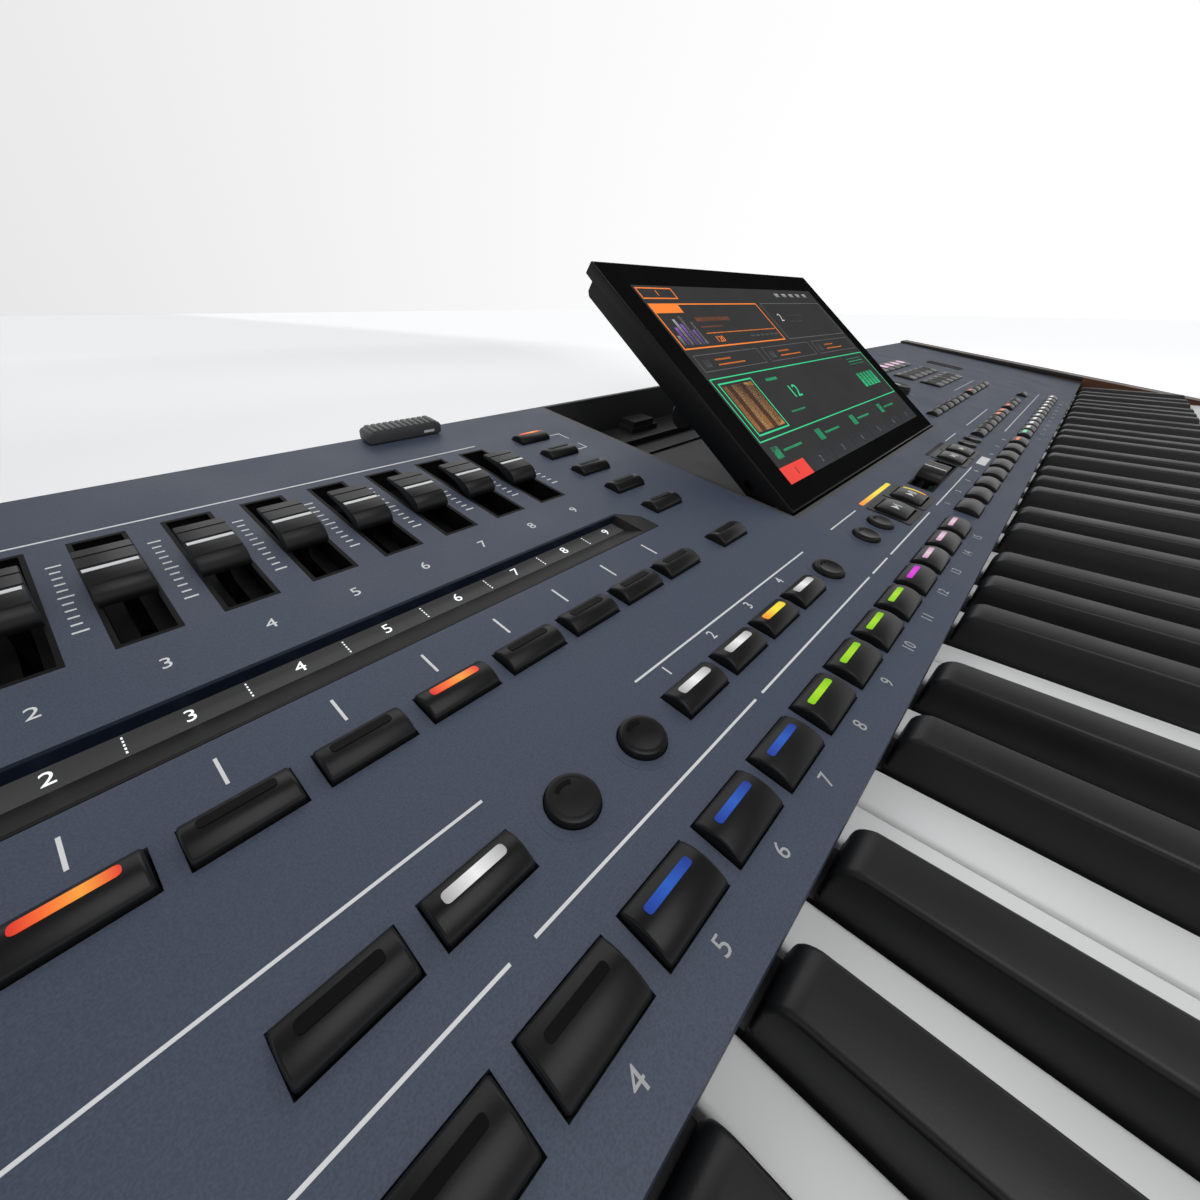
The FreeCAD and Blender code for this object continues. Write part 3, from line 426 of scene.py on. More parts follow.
def ramp_of(nodes, stops):
    """Ramp through colours, each at its position."""
    ramp = nodes.new("ShaderNodeValToRGB")
    while len(ramp.color_ramp.elements) < len(stops):
        ramp.color_ramp.elements.new(0.5)
    for element, (position, colour) in zip(ramp.color_ramp.elements, stops):
        element.position = position
        element.color = (*colour, 1.0)
    return ramp


def moulded(name, colour, roughness, grain=1500.0, depth=0.00003, mottle=0.1, metallic=0.0, unevenness=0.05,
            specular=0.3, glow=0.0, speckle=0.0):
    """Painted, moulded or cast surface: its colour wavers a little, with a fine grain and uneven gloss."""
    material, nodes, links, surface = fresh(name)
    surface.inputs["Metallic"].default_value = metallic
    surface.inputs["Specular IOR Level"].default_value = specular
    surface.inputs["Emission Strength"].default_value = glow
    place = nodes.new("ShaderNodeTexCoord")
    cloud = nodes.new("ShaderNodeTexNoise")
    cloud.inputs["Scale"].default_value = 40.0
    cloud.inputs["Detail"].default_value = 5.0
    links.new(place.outputs["Object"], cloud.inputs["Vector"])
    darker = [part * (1.0 - mottle) for part in colour]
    lighter = [part * (1.0 + mottle) for part in colour]
    tone = ramp_of(nodes, [(0.3, darker), (0.7, lighter)])
    links.new(cloud.outputs["Fac"], tone.inputs["Fac"])
    links.new(tone.outputs["Color"], surface.inputs["Base Color"])
    if glow:
        links.new(tone.outputs["Color"], surface.inputs["Emission Color"])
    fine = nodes.new("ShaderNodeTexNoise")
    fine.inputs["Scale"].default_value = grain
    fine.inputs["Detail"].default_value = 2.0
    links.new(place.outputs["Object"], fine.inputs["Vector"])
    if speckle:
        dots = spread(nodes, 0.35, 0.65, 1.0 - speckle, 1.0 + speckle)
        speckled = nodes.new("ShaderNodeVectorMath")
        speckled.operation = "SCALE"
        links.new(fine.outputs["Fac"], dots.inputs["Value"])
        links.new(tone.outputs["Color"], speckled.inputs[0])
        links.new(dots.outputs["Result"], speckled.inputs["Scale"])
        links.new(speckled.outputs["Vector"], surface.inputs["Base Color"])
    gloss = spread(nodes, 0.3, 0.7, roughness - unevenness, roughness + unevenness)
    links.new(cloud.outputs["Fac"], gloss.inputs["Value"])
    links.new(gloss.outputs["Result"], surface.inputs["Roughness"])
    relief = nodes.new("ShaderNodeBump")
    relief.inputs["Strength"].default_value = 0.5
    relief.inputs["Distance"].default_value = depth
    links.new(fine.outputs["Fac"], relief.inputs["Height"])
    links.new(relief.outputs["Normal"], surface.inputs["Normal"])
    return material


def lit(name, stops, strength):
    """Lit window: its colours run from one end of the window to the other."""
    material, nodes, links, surface = fresh(name)
    surface.inputs["Base Color"].default_value = (0.01, 0.01, 0.01, 1.0)
    surface.inputs["Roughness"].default_value = 0.35
    surface.inputs["Specular IOR Level"].default_value = 0.1
    surface.inputs["Emission Strength"].default_value = strength
    along = nodes.new("ShaderNodeUVMap")
    along.uv_map = "window"
    split = nodes.new("ShaderNodeSeparateXYZ")
    ramp = ramp_of(nodes, stops)
    links.new(along.outputs["UV"], split.inputs["Vector"])
    links.new(split.outputs["X"], ramp.inputs["Fac"])
    links.new(ramp.outputs["Color"], surface.inputs["Emission Color"])
    return material


def wood(name):
    """Dark stained wood with grain that runs along the cheek's depth."""
    material = moulded(name, (0.07, 0.028, 0.014), 0.4, 900.0, 0.00004)
    nodes = material.node_tree.nodes
    links = material.node_tree.links
    surface = nodes["Principled BSDF"]
    place = nodes.new("ShaderNodeTexCoord")
    stretch = nodes.new("ShaderNodeMapping")
    stretch.inputs["Scale"].default_value = (90.0, 5.0, 70.0)
    streaks = nodes.new("ShaderNodeTexNoise")
    streaks.inputs["Scale"].default_value = 2.0
    streaks.inputs["Detail"].default_value = 8.0
    streaks.inputs["Distortion"].default_value = 0.6
    tone = ramp_of(nodes, [(0.32, (0.022, 0.009, 0.005)), (0.68, (0.115, 0.045, 0.02))])
    links.new(place.outputs["Object"], stretch.inputs["Vector"])
    links.new(stretch.outputs["Vector"], streaks.inputs["Vector"])
    links.new(streaks.outputs["Fac"], tone.inputs["Fac"])
    links.new(tone.outputs["Color"], surface.inputs["Base Color"])
    return material


panel_paint = moulded("slate_paint", (0.052, 0.065, 0.096), 0.56, 2800.0, 0.00004, 0.03, specular=0.32,
                      speckle=0.14)
case_paint = moulded("dark_case_paint", (0.030, 0.032, 0.038), 0.5, 1800.0, 0.00005)
bare_metal = moulded("bright_metal", (0.56, 0.56, 0.57), 0.3, 600.0, 0.00001, 0.05, 1.0)
board_lacquer = moulded("board_lacquer", (0.012, 0.07, 0.028), 0.4)
foot_rubber = moulded("foot_rubber", (0.014, 0.014, 0.014), 0.8, 1200.0, 0.00008)
gloss_black = moulded("gloss_black", (0.006, 0.006, 0.0063), 0.2, 300.0, 0.000002, 0.1, 0.0, 0.03, 0.0)
display_black = moulded("display_black", (0.0075, 0.0075, 0.0078), 0.42, 2600.0, 0.00002, specular=0.14)
well_black = moulded("well_black", (0.054, 0.054, 0.055), 0.5, 2400.0, 0.00003, specular=0.2)
socket_black = moulded("socket_black", (0.012, 0.012, 0.012), 0.45)
button_black = moulded("button_black", (0.0075, 0.0075, 0.0078), 0.34, 2600.0, 0.00002, specular=0.22)
cap_black = moulded("cap_black", (0.0095, 0.0095, 0.0098), 0.4, 2600.0, 0.00002, specular=0.24)
latch_grey = moulded("latch_grey", (0.068, 0.068, 0.069), 0.45, 2600.0, 0.00002)
tray_black = moulded("tray_black", (0.0085, 0.0085, 0.0088), 0.5, 2400.0, 0.00002, specular=0.04)
rim_black = moulded("slot_rim_black", (0.0095, 0.0095, 0.0098), 0.5, 2400.0, 0.00002, specular=0.05)
# Near-black for the opening of the display's side slot: painted shade
painted_slot_shade = moulded("painted_slot_shade", (0.002, 0.002, 0.002), 0.6, 900.0, 0.00001, specular=0.02)
bezel_grey = moulded("bezel_grey", (0.0108, 0.0108, 0.011), 0.45, 2600.0, 0.00002, specular=0.2)
# Panel blue darkened for the strip's rear wall and rim: painted shade of the recess
wall_shade_navy = moulded("strip_wall_painted_shade", (0.006, 0.010, 0.020), 0.5, 2200.0, 0.00002, specular=0.1)
strip_glass = moulded("strip_glass", (0.029, 0.029, 0.0292), 0.3, 300.0, 0.000002, specular=0.1, glow=0.9)
ivory_white = moulded("key_white", (0.72, 0.72, 0.715), 0.36, 500.0, 0.000006, 0.02)
ebony_black = moulded("key_black", (0.0098, 0.0098, 0.0100), 0.44, 2400.0, 0.00003, specular=0.32)
print_white = moulded("panel_print", (0.66, 0.665, 0.67), 0.6, 2200.0, 0.00001, 0.03)
print_grey = moulded("faint_print", (0.36, 0.365, 0.37), 0.6, 2200.0, 0.00001, 0.03)
# Near-black for the bands along the cheeks' top edges: painted shade on their inner faces
shade_band_black = moulded("cheek_edge_black", (0.012, 0.0095, 0.009), 0.4, 1800.0, 0.00003)
cheek_wood = wood("cheek_wood")
dark_window = moulded("dark_window", (0.006, 0.0055, 0.0055), 0.45, 400.0, 0.000004, specular=0.05)

# Lights behind the windows: their colours from one end to the other, and their strength
window_lights = {
    "red_orange": ("lit_orange", [(0.02, (0.75, 0.035, 0.02)), (0.3, (1.0, 0.16, 0.03)),
                                  (0.62, (1.0, 0.38, 0.05)), (0.98, (0.85, 0.06, 0.03))], 0.95),
    "blue": ("lit_blue", [(0.02, (0.012, 0.05, 0.36)), (0.5, (0.022, 0.12, 0.58)),
                          (0.98, (0.012, 0.045, 0.32))], 0.85),
    "green": ("lit_green", [(0.0, (0.25, 0.62, 0.0)), (0.5, (0.42, 0.75, 0.02)),
                            (1.0, (0.24, 0.6, 0.0))], 0.95),
    "white": ("lit_white", [(0.0, (0.4, 0.4, 0.4)), (0.5, (0.95, 0.95, 0.95)),
                            (1.0, (0.42, 0.42, 0.42))], 0.9),
    "yellow": ("lit_yellow", [(0.0, (0.95, 0.28, 0.02)), (0.55, (0.95, 0.8, 0.04)),
                              (1.0, (0.95, 0.68, 0.03))], 0.95),
    "magenta": ("lit_magenta", [(0.0, (0.6, 0.01, 0.62)), (0.5, (0.75, 0.04, 0.72)),
                                (1.0, (0.6, 0.01, 0.62))], 0.95),
    "pink": ("lit_pink", [(0.0, (0.6, 0.3, 0.5)), (0.5, (0.78, 0.58, 0.7)),
                          (1.0, (0.6, 0.32, 0.5))], 0.95),
    "orange": ("lit_amber", [(0.0, (0.8, 0.16, 0.04)), (0.5, (0.85, 0.22, 0.07)),
                             (1.0, (0.8, 0.16, 0.04))], 0.9),
    "pale_green": ("lit_pale_green", [(0.0, (0.1, 0.7, 0.35)), (1.0, (0.15, 0.75, 0.4))], 0.9),
}
window_finishes = {"cap": button_black, "dark": dark_window}
for light, (name, stops, strength) in window_lights.items():
    window_finishes[light] = lit(name, stops, strength)
window_places = list(window_finishes)

# Colours of the screen, each with its mottle and its glow
strip_light = moulded("strip_light", (0.72, 0.74, 0.76), 0.5, 800.0, 0.000002, 0.05, glow=0.75)
screen_shades = {
    "grey": ((0.026, 0.026, 0.0265), 0.06, 0.8),
    "dim": ((0.10, 0.10, 0.105), 0.06, 0.7),
    "pale": ((0.42, 0.42, 0.43), 0.06, 0.7),
    "slate": ((0.045, 0.048, 0.053), 0.06, 0.8),
    "orange": ((0.62, 0.16, 0.03), 0.06, 0.8),
    "green": ((0.035, 0.44, 0.19), 0.06, 0.8),
    "red": ((0.62, 0.055, 0.045), 0.06, 0.6),
    "violet": ((0.26, 0.12, 0.50), 0.06, 0.8),
    "amber": ((0.48, 0.22, 0.07), 0.15, 0.7),
    "brown": ((0.17, 0.06, 0.025), 0.15, 0.7),
    "tan": ((0.55, 0.31, 0.13), 0.15, 0.7),
}
screen_colours = list(screen_shades)
screen_finishes = [moulded("screen_" + name, colour, 0.35, 500.0, 0.000001, mottle, specular=0.0, glow=glow)
                   for name, (colour, mottle, glow) in screen_shades.items()]

# Finishes of the CAD pieces that stay in view
dress(panel_paint, "top_panel", "left_block")
dress(case_paint, "floor_plate", "rear_panel", "key_slip", "keybed_chassis")
dress(cheek_wood, "end_cheek_left", "end_cheek_right")
dress(bare_metal, "case_screws", "display_hinge_pins", "key_pivot_rod")
dress(foot_rubber, "rubber_feet")
dress(board_lacquer, "panel_boards", "key_contact_board", "main_board")
dress(bare_metal, "power_supply")
dress(socket_black, "rear_sockets", "power_inlet", "power_button")
dress(tray_black, "fader_trays", "fader_bodies")
dress(well_black, "display_well")
dress(bezel_grey, "strip_bezel")
dress(strip_glass, "strip_display")
dress(display_black, "display_back")
dress(socket_black, "joystick_yoke", "joystick_stick")

# Piano keys
white_notes = ["c", "d", "e", "f", "g", "a", "b"]
black_notes = ["c_sharp", "d_sharp", "f_sharp", "g_sharp", "a_sharp"]
black_boxes = [box for note in black_notes for box in solids("keys_" + note)]


def key_arm(low, high):
    """Arm of a key, from under the panel's edge back to the pivot."""
    middle = (low.x + high.x) / 2
    return rounded_block((middle - arm_width / 2, tail_end - tail_overlap, arm_low),
                         (middle + arm_width / 2, high.y, arm_high), arm_round, 1)


def white_key(low, high):
    """White key with rounded top edges, cut back beside the black keys, and a lip at its front."""
    low = low - Vector((key_widening, 0, 0))
    high = high + Vector((key_widening, 0, 0))
    tail_left = low.x
    tail_right = high.x
    for dark_low, dark_high in black_boxes:
        if dark_low.x < high.x and dark_high.x > low.x:
            if dark_low.x + dark_high.x < low.x + high.x:
                tail_left = dark_high.x + key_gap
            else:
                tail_right = dark_low.x - key_gap
    notch = black_boxes[0][0].y - key_gap
    corners = [(low.x, low.y), (high.x, low.y), (high.x, notch), (tail_right, notch), (tail_right, tail_end),
               (tail_left, tail_end), (tail_left, notch), (low.x, notch)]
    points = []
    for corner in corners:
        if corner not in points:
            points.append(corner)
    shape = extruded([(x, y, white_low) for x, y in points], (0, 0, high.z - white_low))
    rim = [edge for edge in shape.edges if all(vert.co.z > high.z - hair for vert in edge.verts)]
    front = [edge for edge in shape.edges if all(vert.co.y < low.y + hair for vert in edge.verts)
             and edge not in rim and abs(edge.verts[0].co.z - edge.verts[1].co.z) > key_round]
    round_edges(shape, rim + front, key_round, 3)
    add(shape, rounded_block((low.x + lip_inset, low.y + lip_setback, lip_low),
                             (high.x - lip_inset, low.y + lip_thickness, white_low + lip_overlap), lip_round))
    add(shape, key_arm(low, high))
    return shape


def black_key(low, high):
    """Black key: sloped front, narrower top with rounded edges, rounded rear end and a low tail."""
    middle = (low.x + high.x) / 2
    width = high.x - low.x
    top = high.z
    profile = [(low.y, black_low), (low.y + black_front_slope, top)]
    for turn in range(7):
        angle = math.radians(90.0 - 85.0 * turn / 6)
        profile.append((black_rear - black_rear_slope - black_rear_round + black_rear_round * math.cos(angle),
                        top - black_rear_round + black_rear_round * math.sin(angle)))
    profile += [(black_rear, black_shoulder), (black_rear, black_low)]
    shape = extruded([(low.x, y, z) for y, z in profile], (width, 0, 0))
    bmesh.ops.bisect_plane(shape, geom=shape.verts[:] + shape.edges[:] + shape.faces[:],
                           plane_co=(0, 0, black_shoulder), plane_no=(0, 0, 1))
    for vert in shape.verts:
        share = max(0.0, (vert.co.z - black_shoulder) / (top - black_shoulder))
        vert.co.x = middle + (vert.co.x - middle) * (1.0 - share * (1.0 - black_top_width / width))
    edges = sharp_edges(shape, 20.0)
    above = black_shoulder + shoulder_clear
    rim = [edge for edge in edges if min(vert.co.z for vert in edge.verts) > above]
    fronts = [edge for edge in edges if edge not in rim and max(vert.co.z for vert in edge.verts) > above]
    round_edges(shape, rim + fronts, black_round, 3)
    add(shape, rounded_block((low.x + tail_inset, black_rear - tail_overlap, tail_low),
                             (high.x - tail_inset, tail_end, black_tail_high), tail_round))
    add(shape, key_arm(low, high))
    return shape


for note in white_notes + black_notes:
    pale = note in white_notes
    keys = bmesh.new()
    for low, high in solids("keys_" + note):
        add(keys, white_key(low, high) if pale else black_key(low, high))
    kind = "white_key" if pale else "black_key"
    finish = ivory_white if pale else ebony_black
    piece(kind + "s_" + note, keys, "keys_" + note, kind, [finish], "keys_" + note)


# Push buttons
def crown(depth, place, rise=button_rise):
    """Height of a crowned button at a place along its depth."""
    return button_side + (rise - button_side) * (1.0 - (2.0 * place / depth) ** 2)


def lean(depth, place, rise=button_rise):
    """Slope of a button's top at a place along its depth."""
    return math.atan(-8.0 * (rise - button_side) * place / depth ** 2)


def button_cap(width, depth, rise):
    """Crowned button cap with rounded edges, round its middle on the panel."""
    steps = 10
    arc = [depth * (step / steps - 0.5) for step in range(steps + 1)]
    profile = [(-depth / 2, button_skirt)] + [(place, crown(depth, place, rise)) for place in arc]
    profile += [(depth / 2, button_skirt)]
    shape = extruded([(-width / 2, place, height) for place, height in profile], (width, 0, 0))
    rim = [edge for edge in sharp_edges(shape) if max(vert.co.z for vert in edge.verts) > 0.0]
    return round_edges(shape, rim, button_round, 3)


def capsule(length, width):
    """Flat plate with round corners, with a map that runs along its length."""
    radius = window_corner * width
    points = []
    for x_side, y_side, start in ((1, -1, -90.0), (1, 1, 0.0), (-1, 1, 90.0), (-1, -1, 180.0)):
        for turn in range(4):
            angle = math.radians(start + 30.0 * turn)
            points.append((x_side * (length / 2 - radius) + radius * math.cos(angle),
                           y_side * (width / 2 - radius) + radius * math.sin(angle), 0.0))
    shape = extruded(points, (0, 0, window_depth))
    along = shape.loops.layers.uv.new("window")
    for face in shape.faces:
        for loop in face.loops:
            loop[along].uv = (loop.vert.co.x / length + 0.5, loop.vert.co.y / width + 0.5)
    return shape


def round_cap(radius):
    """Round dished button."""
    profile = [(0.0, 0.0013), (radius * 0.45, 0.0014), (radius * 0.7, 0.0016), (radius * 0.84, 0.0017),
               (radius * 0.94, 0.0015), (radius, 0.0010), (radius, button_skirt), (0.0, button_skirt)]
    return turned(profile, 40)


def arc_mark(radius, width):
    """Curved light window near the rim of a round button."""
    shape = bmesh.new()
    corners = [(radius - width / 2, 0.0, 0.0), (radius + width / 2, 0.0, 0.0),
               (radius + width / 2, 0.0, window_depth), (radius - width / 2, 0.0, window_depth)]
    face = shape.faces.new([shape.verts.new(corner) for corner in corners])
    spun(shape, [face], round_mark_sweep, 8)
    shape.loops.layers.uv.new("window")
    return shape


def button_row(node, lights, length=0.0, share=0.0, across=window_width, rise=button_rise, inset=0.0):
    """Caps of one group of buttons, with light windows of a length, at a share of the caps' depth."""
    caps = bmesh.new()
    caps.loops.layers.uv.new("window")
    made = {}
    for index, (low, high) in enumerate(solids(node, panel)):
        width = high.x - low.x - 2 * button_flange
        depth = high.y - low.y - 2 * button_flange
        seat = on_panel(low, high)
        light = lights.get(index, "dark")
        if width < round_button_width and abs(width - depth) < round_tolerance:
            add(caps, round_cap(round_radius), seat)
            mark = Matrix.Translation((0, 0, round_mark_height)) @ Matrix.Rotation(round_mark_turn, 4, "Z")
            add(caps, arc_mark(round_mark_radius, round_mark_width), seat @ mark, window_places.index("dark"))
            continue
        width -= 2 * inset
        depth -= 2 * inset
        size = (round(width, 5), round(depth, 5))
        if size not in made:
            made[size] = button_cap(width, depth, rise)
        add(caps, made[size], seat)
        if not length or light == "bare":
            continue
        place = depth * share
        window = Matrix.Translation((0, place, crown(depth, place, rise) - window_depth + window_proud))
        window = window @ Matrix.Rotation(lean(depth, place, rise), 4, "X")
        add(caps, capsule(length, across), seat @ window, window_places.index(light))
    return piece(node + "_caps", caps, node, "black_plastic", list(window_finishes.values()), node)


# Lights of the buttons, by their place in the group: the others are dark, and bare ones have no window
style_lights = {4: "blue", 5: "blue", 6: "blue", 7: "green", 8: "green", 9: "green", 10: "green",
                11: "magenta", 12: "pink", 13: "pink", 14: "pink", 22: "orange"}
style_lights.update({index: "bare" for index in range(15, 22)})
strip_lights = {1: "red_orange", 4: "red_orange"}
pad_lights = {1: "white", 4: "white", 5: "white", 6: "yellow", 7: "white"}
mode_lights = {5: "red_orange"}
row_lights = {0: "pale_green", 23: "orange", 24: "orange", 25: "orange", 43: "orange"}
row_lights.update({index: "white" for index in range(1, 11)})
keypad_lights = {10: "orange", 11: "pink", 12: "pink", 13: "pink", 14: "pink"}
button_row("style_buttons", style_lights, length=0.0113, share=0.19)
button_row("strip_buttons", strip_lights, length=0.0115, share=0.14, across=wide_window)
button_row("pad_buttons", pad_lights, length=0.0113, share=0.13, across=wide_window)
button_row("mode_buttons", mode_lights, length=0.0115, share=0.16, across=wide_window)
button_row("player_buttons", {}, rise=player_rise, inset=player_inset)
button_row("row_buttons", row_lights, length=0.0105, share=0.15, across=wide_window)
button_row("keypad_buttons", keypad_lights, length=0.0125, share=0.05, across=keypad_window, rise=keypad_rise)

# Frames, symbols and light bars of the player section
player_boxes = [box for box in solids("player_buttons", panel) if box[1].x - box[0].x > square_button_width]
frames = bmesh.new()
symbols = bmesh.new()
arrow = [(symbol_left, -symbol_half, 0), (symbol_tip, 0.0, 0), (symbol_left, symbol_half, 0)]
for index, (low, high) in enumerate(player_boxes):
    seat = on_panel(low, high)
    hole = (high.x - low.x - 2 * player_inset, high.y - low.y - 2 * player_inset)
    add(frames, rounded_plate(*player_frame, player_frame_round, player_frame_height, hole), seat)
    top = seat @ Matrix.Translation((0, 0, player_rise - symbol_sink))
    add(symbols, extruded(arrow, (0, 0, symbol_height)), top)
    strokes = (0.0009, 0.0024) if index in (1, 2) else (0.0009,)
    for x in strokes:
        add(symbols, block((x, -symbol_half, 0.0), (x + symbol_stroke, symbol_half, symbol_height)), top)
piece("player_button_frames", frames, "case", "black_plastic", [cap_black])
piece("player_button_symbols", symbols, "player_buttons", "black_plastic", [print_white])

bars = bmesh.new()
bars.loops.layers.uv.new("window")
for x, v, finish in ((-0.0388, 0.0501, 1), (0.0722, 0.0498, 0)):
    add(bars, capsule(*light_bar), panel @ Matrix.Translation((x, v, -light_bar_sink)), finish)
piece("player_light_bars", bars, "case", "screen_glass", [dark_window, window_finishes["yellow"]])

# Light along the right edge of the second square button
low, high = player_boxes[1]
depth = high.y - low.y - 2 * (button_flange + player_inset)
arc_places = [depth * arc_light_reach * (0.5 - step / 10) for step in range(11)]
arc_top = [(place, crown(depth, place, player_rise) + arc_light_proud) for place in arc_places]
arc_under = [(place, height - window_depth) for place, height in reversed(arc_top)]
arc_x = (high.x - low.x) / 2 - button_flange - player_inset - arc_light_inset
arc = extruded([(arc_x, place, height) for place, height in arc_top + arc_under], (arc_light_width, 0, 0))
along = arc.loops.layers.uv.new("window")
for face in arc.faces:
    for loop in face.loops:
        loop[along].uv = (loop.vert.co.y / (arc_light_reach * depth) + 0.5, 0.5)
edge_light = bmesh.new()
edge_light.loops.layers.uv.new("window")
add(edge_light, arc, on_panel(low, high))
piece("player_button_light", edge_light, "player_buttons", "screen_glass", [window_finishes["yellow"]])

# Round collars that close the panel round the round buttons
collars = bmesh.new()
for node in ("pad_buttons", "player_buttons"):
    for low, high in solids(node, panel):
        if high.x - low.x < round_box_width and high.y - low.y > round_box_depth:
            add(collars, ring(round_radius + collar_gap, round_radius + collar_reach, collar_height),
                on_panel(low, high))
piece("round_button_collars", collars, "case", "panel_paint", [panel_paint])


# Fader caps
def fader_cap():
    """Fader cap round its middle: three grooves, an upright nose and a scooped underside."""
    top = [(9.69, 4.7), (9.62, 5.4), (9.1, 5.85), (5.75, 6.0), (5.6, 5.5), (5.2, 5.5), (5.05, 6.0),
           (0.35, 6.0), (0.2, 5.6), (-0.2, 5.6), (-0.35, 5.98), (-2.5, 5.9), (-4.5, 5.6), (-6.3, 5.15),
           (-6.45, 4.75), (-6.75, 4.7), (-6.95, 4.95), (-7.7, 4.6), (-8.6, 3.9), (-9.25, 3.0), (-9.6, 2.0),
           (-9.65, 1.2), (-9.4, 0.4)]
    under = [(-6.6, 0.4), (-5.4, 1.0), (-3.6, 2.1), (-1.0, 3.2), (2.5, 4.0), (6.0, 4.4)]
    points = [(-cap_half, along / 1000.0, height / 1000.0) for along, height in top + under]
    shape = extruded(points, (2 * cap_half, 0, 0))
    sides = [edge for edge in sharp_edges(shape, 60.0)
             if abs(edge.verts[0].co.x - edge.verts[1].co.x) < merge_distance]
    return round_edges(shape, sides, cap_round, 2)


def finished_cap(name, body, node, place):
    """Fader cap with its white line and the stem that carries it in the slot."""
    whole = bmesh.new()
    add(whole, fader_cap(), place)
    add(whole, block(cap_line_low, cap_line_high), place, 1)
    add(whole, rounded_block(stem_low, stem_high, cap_round), place)
    piece(name, whole, body, "black_plastic", [cap_black, print_white], node)


for index in range(1, 10):
    node = "fader_cap_" + str(index)
    finished_cap("slider_" + str(index), node, node, on_panel(*solids(node, panel)[0]))
crosswise = Matrix.Rotation(math.radians(-90.0), 4, "Z")
balance_place = on_panel(*solids("balance_cap", panel)[0]) @ crosswise
finished_cap("balance_slider", "balance_cap", "balance_cap", balance_place)

slot_frames = bmesh.new()
for low, high in solids("fader_trays", panel):
    width = high.x - low.x
    depth = high.y - low.y
    hole = (width - 2 * slot_rim, depth - 2 * slot_rim)
    add(slot_frames, rounded_plate(width, depth, slot_round, slot_frame_height, hole),
        on_panel(low, high, -slot_frame_sink))
piece("fader_slot_frames", slot_frames, "case", "black_plastic", [rim_black])


# Printing on the panel
def line(x_from, v_from, x_to, v_to, width=line_width):
    """Printed line between two points of the panel."""
    way = Vector((x_to - x_from, v_to - v_from))
    side = Vector((-way.y, way.x)).normalized() * width / 2
    corners = [(x_from + side.x, v_from + side.y, 0.0), (x_to + side.x, v_to + side.y, 0.0),
               (x_to - side.x, v_to - side.y, 0.0), (x_from - side.x, v_from - side.y, 0.0)]
    add(printing, extruded(corners, (0, 0, print_depth)), panel)


def number(text, x, v, height, shade=0):
    """Printed numeral at a point of the panel, white or faint."""
    add(printing, numeral(text, height), panel @ Matrix.Translation((x, v, print_depth / 2)), shade)


printing = bmesh.new()
style_x = [(low.x + high.x) / 2 for low, high in solids("style_buttons", panel)]
strip_x = [(low.x + high.x) / 2 for low, high in solids("strip_buttons", panel)]
fader_boxes = [solids("fader_cap_" + str(index), panel)[0] for index in range(1, 10)]
fader_x = [(low.x + high.x) / 2 for low, high in fader_boxes]
row_boxes = solids("row_buttons", panel)
knob_low, knob_high = solids("volume_knob", panel)[0]
knob_x = (knob_low.x + knob_high.x) / 2
knob_v = (knob_low.y + knob_high.y) / 2

# Lines above the groups of buttons
line(-0.395, 0.1844, -0.1626, 0.1844, wide_line)
for x_from, x_to in [(-0.345, -0.2715), (-0.2669, -0.1988), (-0.1957, -0.1179), (-0.1143, -0.0981),
                     (-0.0939, -0.0368), (-0.0242, 0.0579), (0.180, 0.407)]:
    line(x_from, style_line_v, x_to, style_line_v)
for x_from, x_to, v in [(-0.2164, -0.1218, 0.0493), (-0.330, -0.2596, 0.0493), (-0.0949, -0.0671, 0.0495),
                        (0.099, 0.129, 0.0495), (0.163, 0.2485, 0.0491), (0.298, 0.391, 0.0846)]:
    line(x_from, v, x_to, v)

# Bracket beside the upper mode buttons
for corners in [(-0.1239, 0.1782, -0.1184, 0.1782), (-0.1184, 0.1785, -0.1184, 0.1712),
                (-0.1184, 0.1648, -0.1184, 0.1590), (-0.1184, 0.1593, -0.1239, 0.1593)]:
    line(*corners, tick_line)

# Numerals and scales
for index, x in enumerate(style_x[:15]):
    number(str(index + 1), x, front_number_v, 0.0033, 1)
for index, x in enumerate(style_x[15:]):
    number(str(index + 1), x - 0.003, 0.0236, 0.0026)
for index in range(4):
    number(str(index + 1), style_x[index + 6] - 0.0003, 0.0464, 0.0031)
for index, x in enumerate(fader_x):
    number(str(index + 1), x, fader_number_v, 0.0036)
    for tick in range(11):
        extra = fader_tick_extra if tick % 5 == 0 else 0.0
        v = fader_scale_v + fader_scale_length * tick / 10
        line(x + fader_tick_from - extra / 2, v, x + fader_tick_to + extra, v, tick_line)
for x in strip_x:
    line(x, strip_mark_from, x, strip_mark_to, tick_line)
for index, (low, high) in enumerate(row_boxes[:11]):
    number(str(index + 1), (low.x + high.x) / 2, front_number_v, 0.0026)
for low, high in row_boxes[11:19] + row_boxes[29:37]:
    x = (low.x + high.x) / 2
    line(x, high.y + row_mark_from, x, high.y + row_mark_to, row_mark_line)
for step in range(11):
    angle = math.radians(-150.0 + 30.0 * step)
    far = dial_tick_far if step % 5 else dial_tick_long
    line(knob_x + dial_tick_near * math.sin(angle), knob_v + dial_tick_near * math.cos(angle),
         knob_x + far * math.sin(angle), knob_v + far * math.cos(angle), tick_line)
line(0.0694, 0.0244, 0.0890, 0.0244, label_patch)
piece("panel_printing", printing, "case", "panel_paint", [print_white, print_grey])

slot_inlay = bmesh.new()
card_place = panel @ Matrix.Translation((0.4545, 0.1268, 0.0))
add(slot_inlay, rounded_plate(*card_slot_size, card_slot_round, card_slot_height, card_slot_hole), card_place)
add(slot_inlay, block((-0.0081, -0.017, 0.0), (0.0081, 0.017, 0.00012)), card_place)
piece("card_slot_inlay", slot_inlay, "case", "black_plastic", [tray_black])

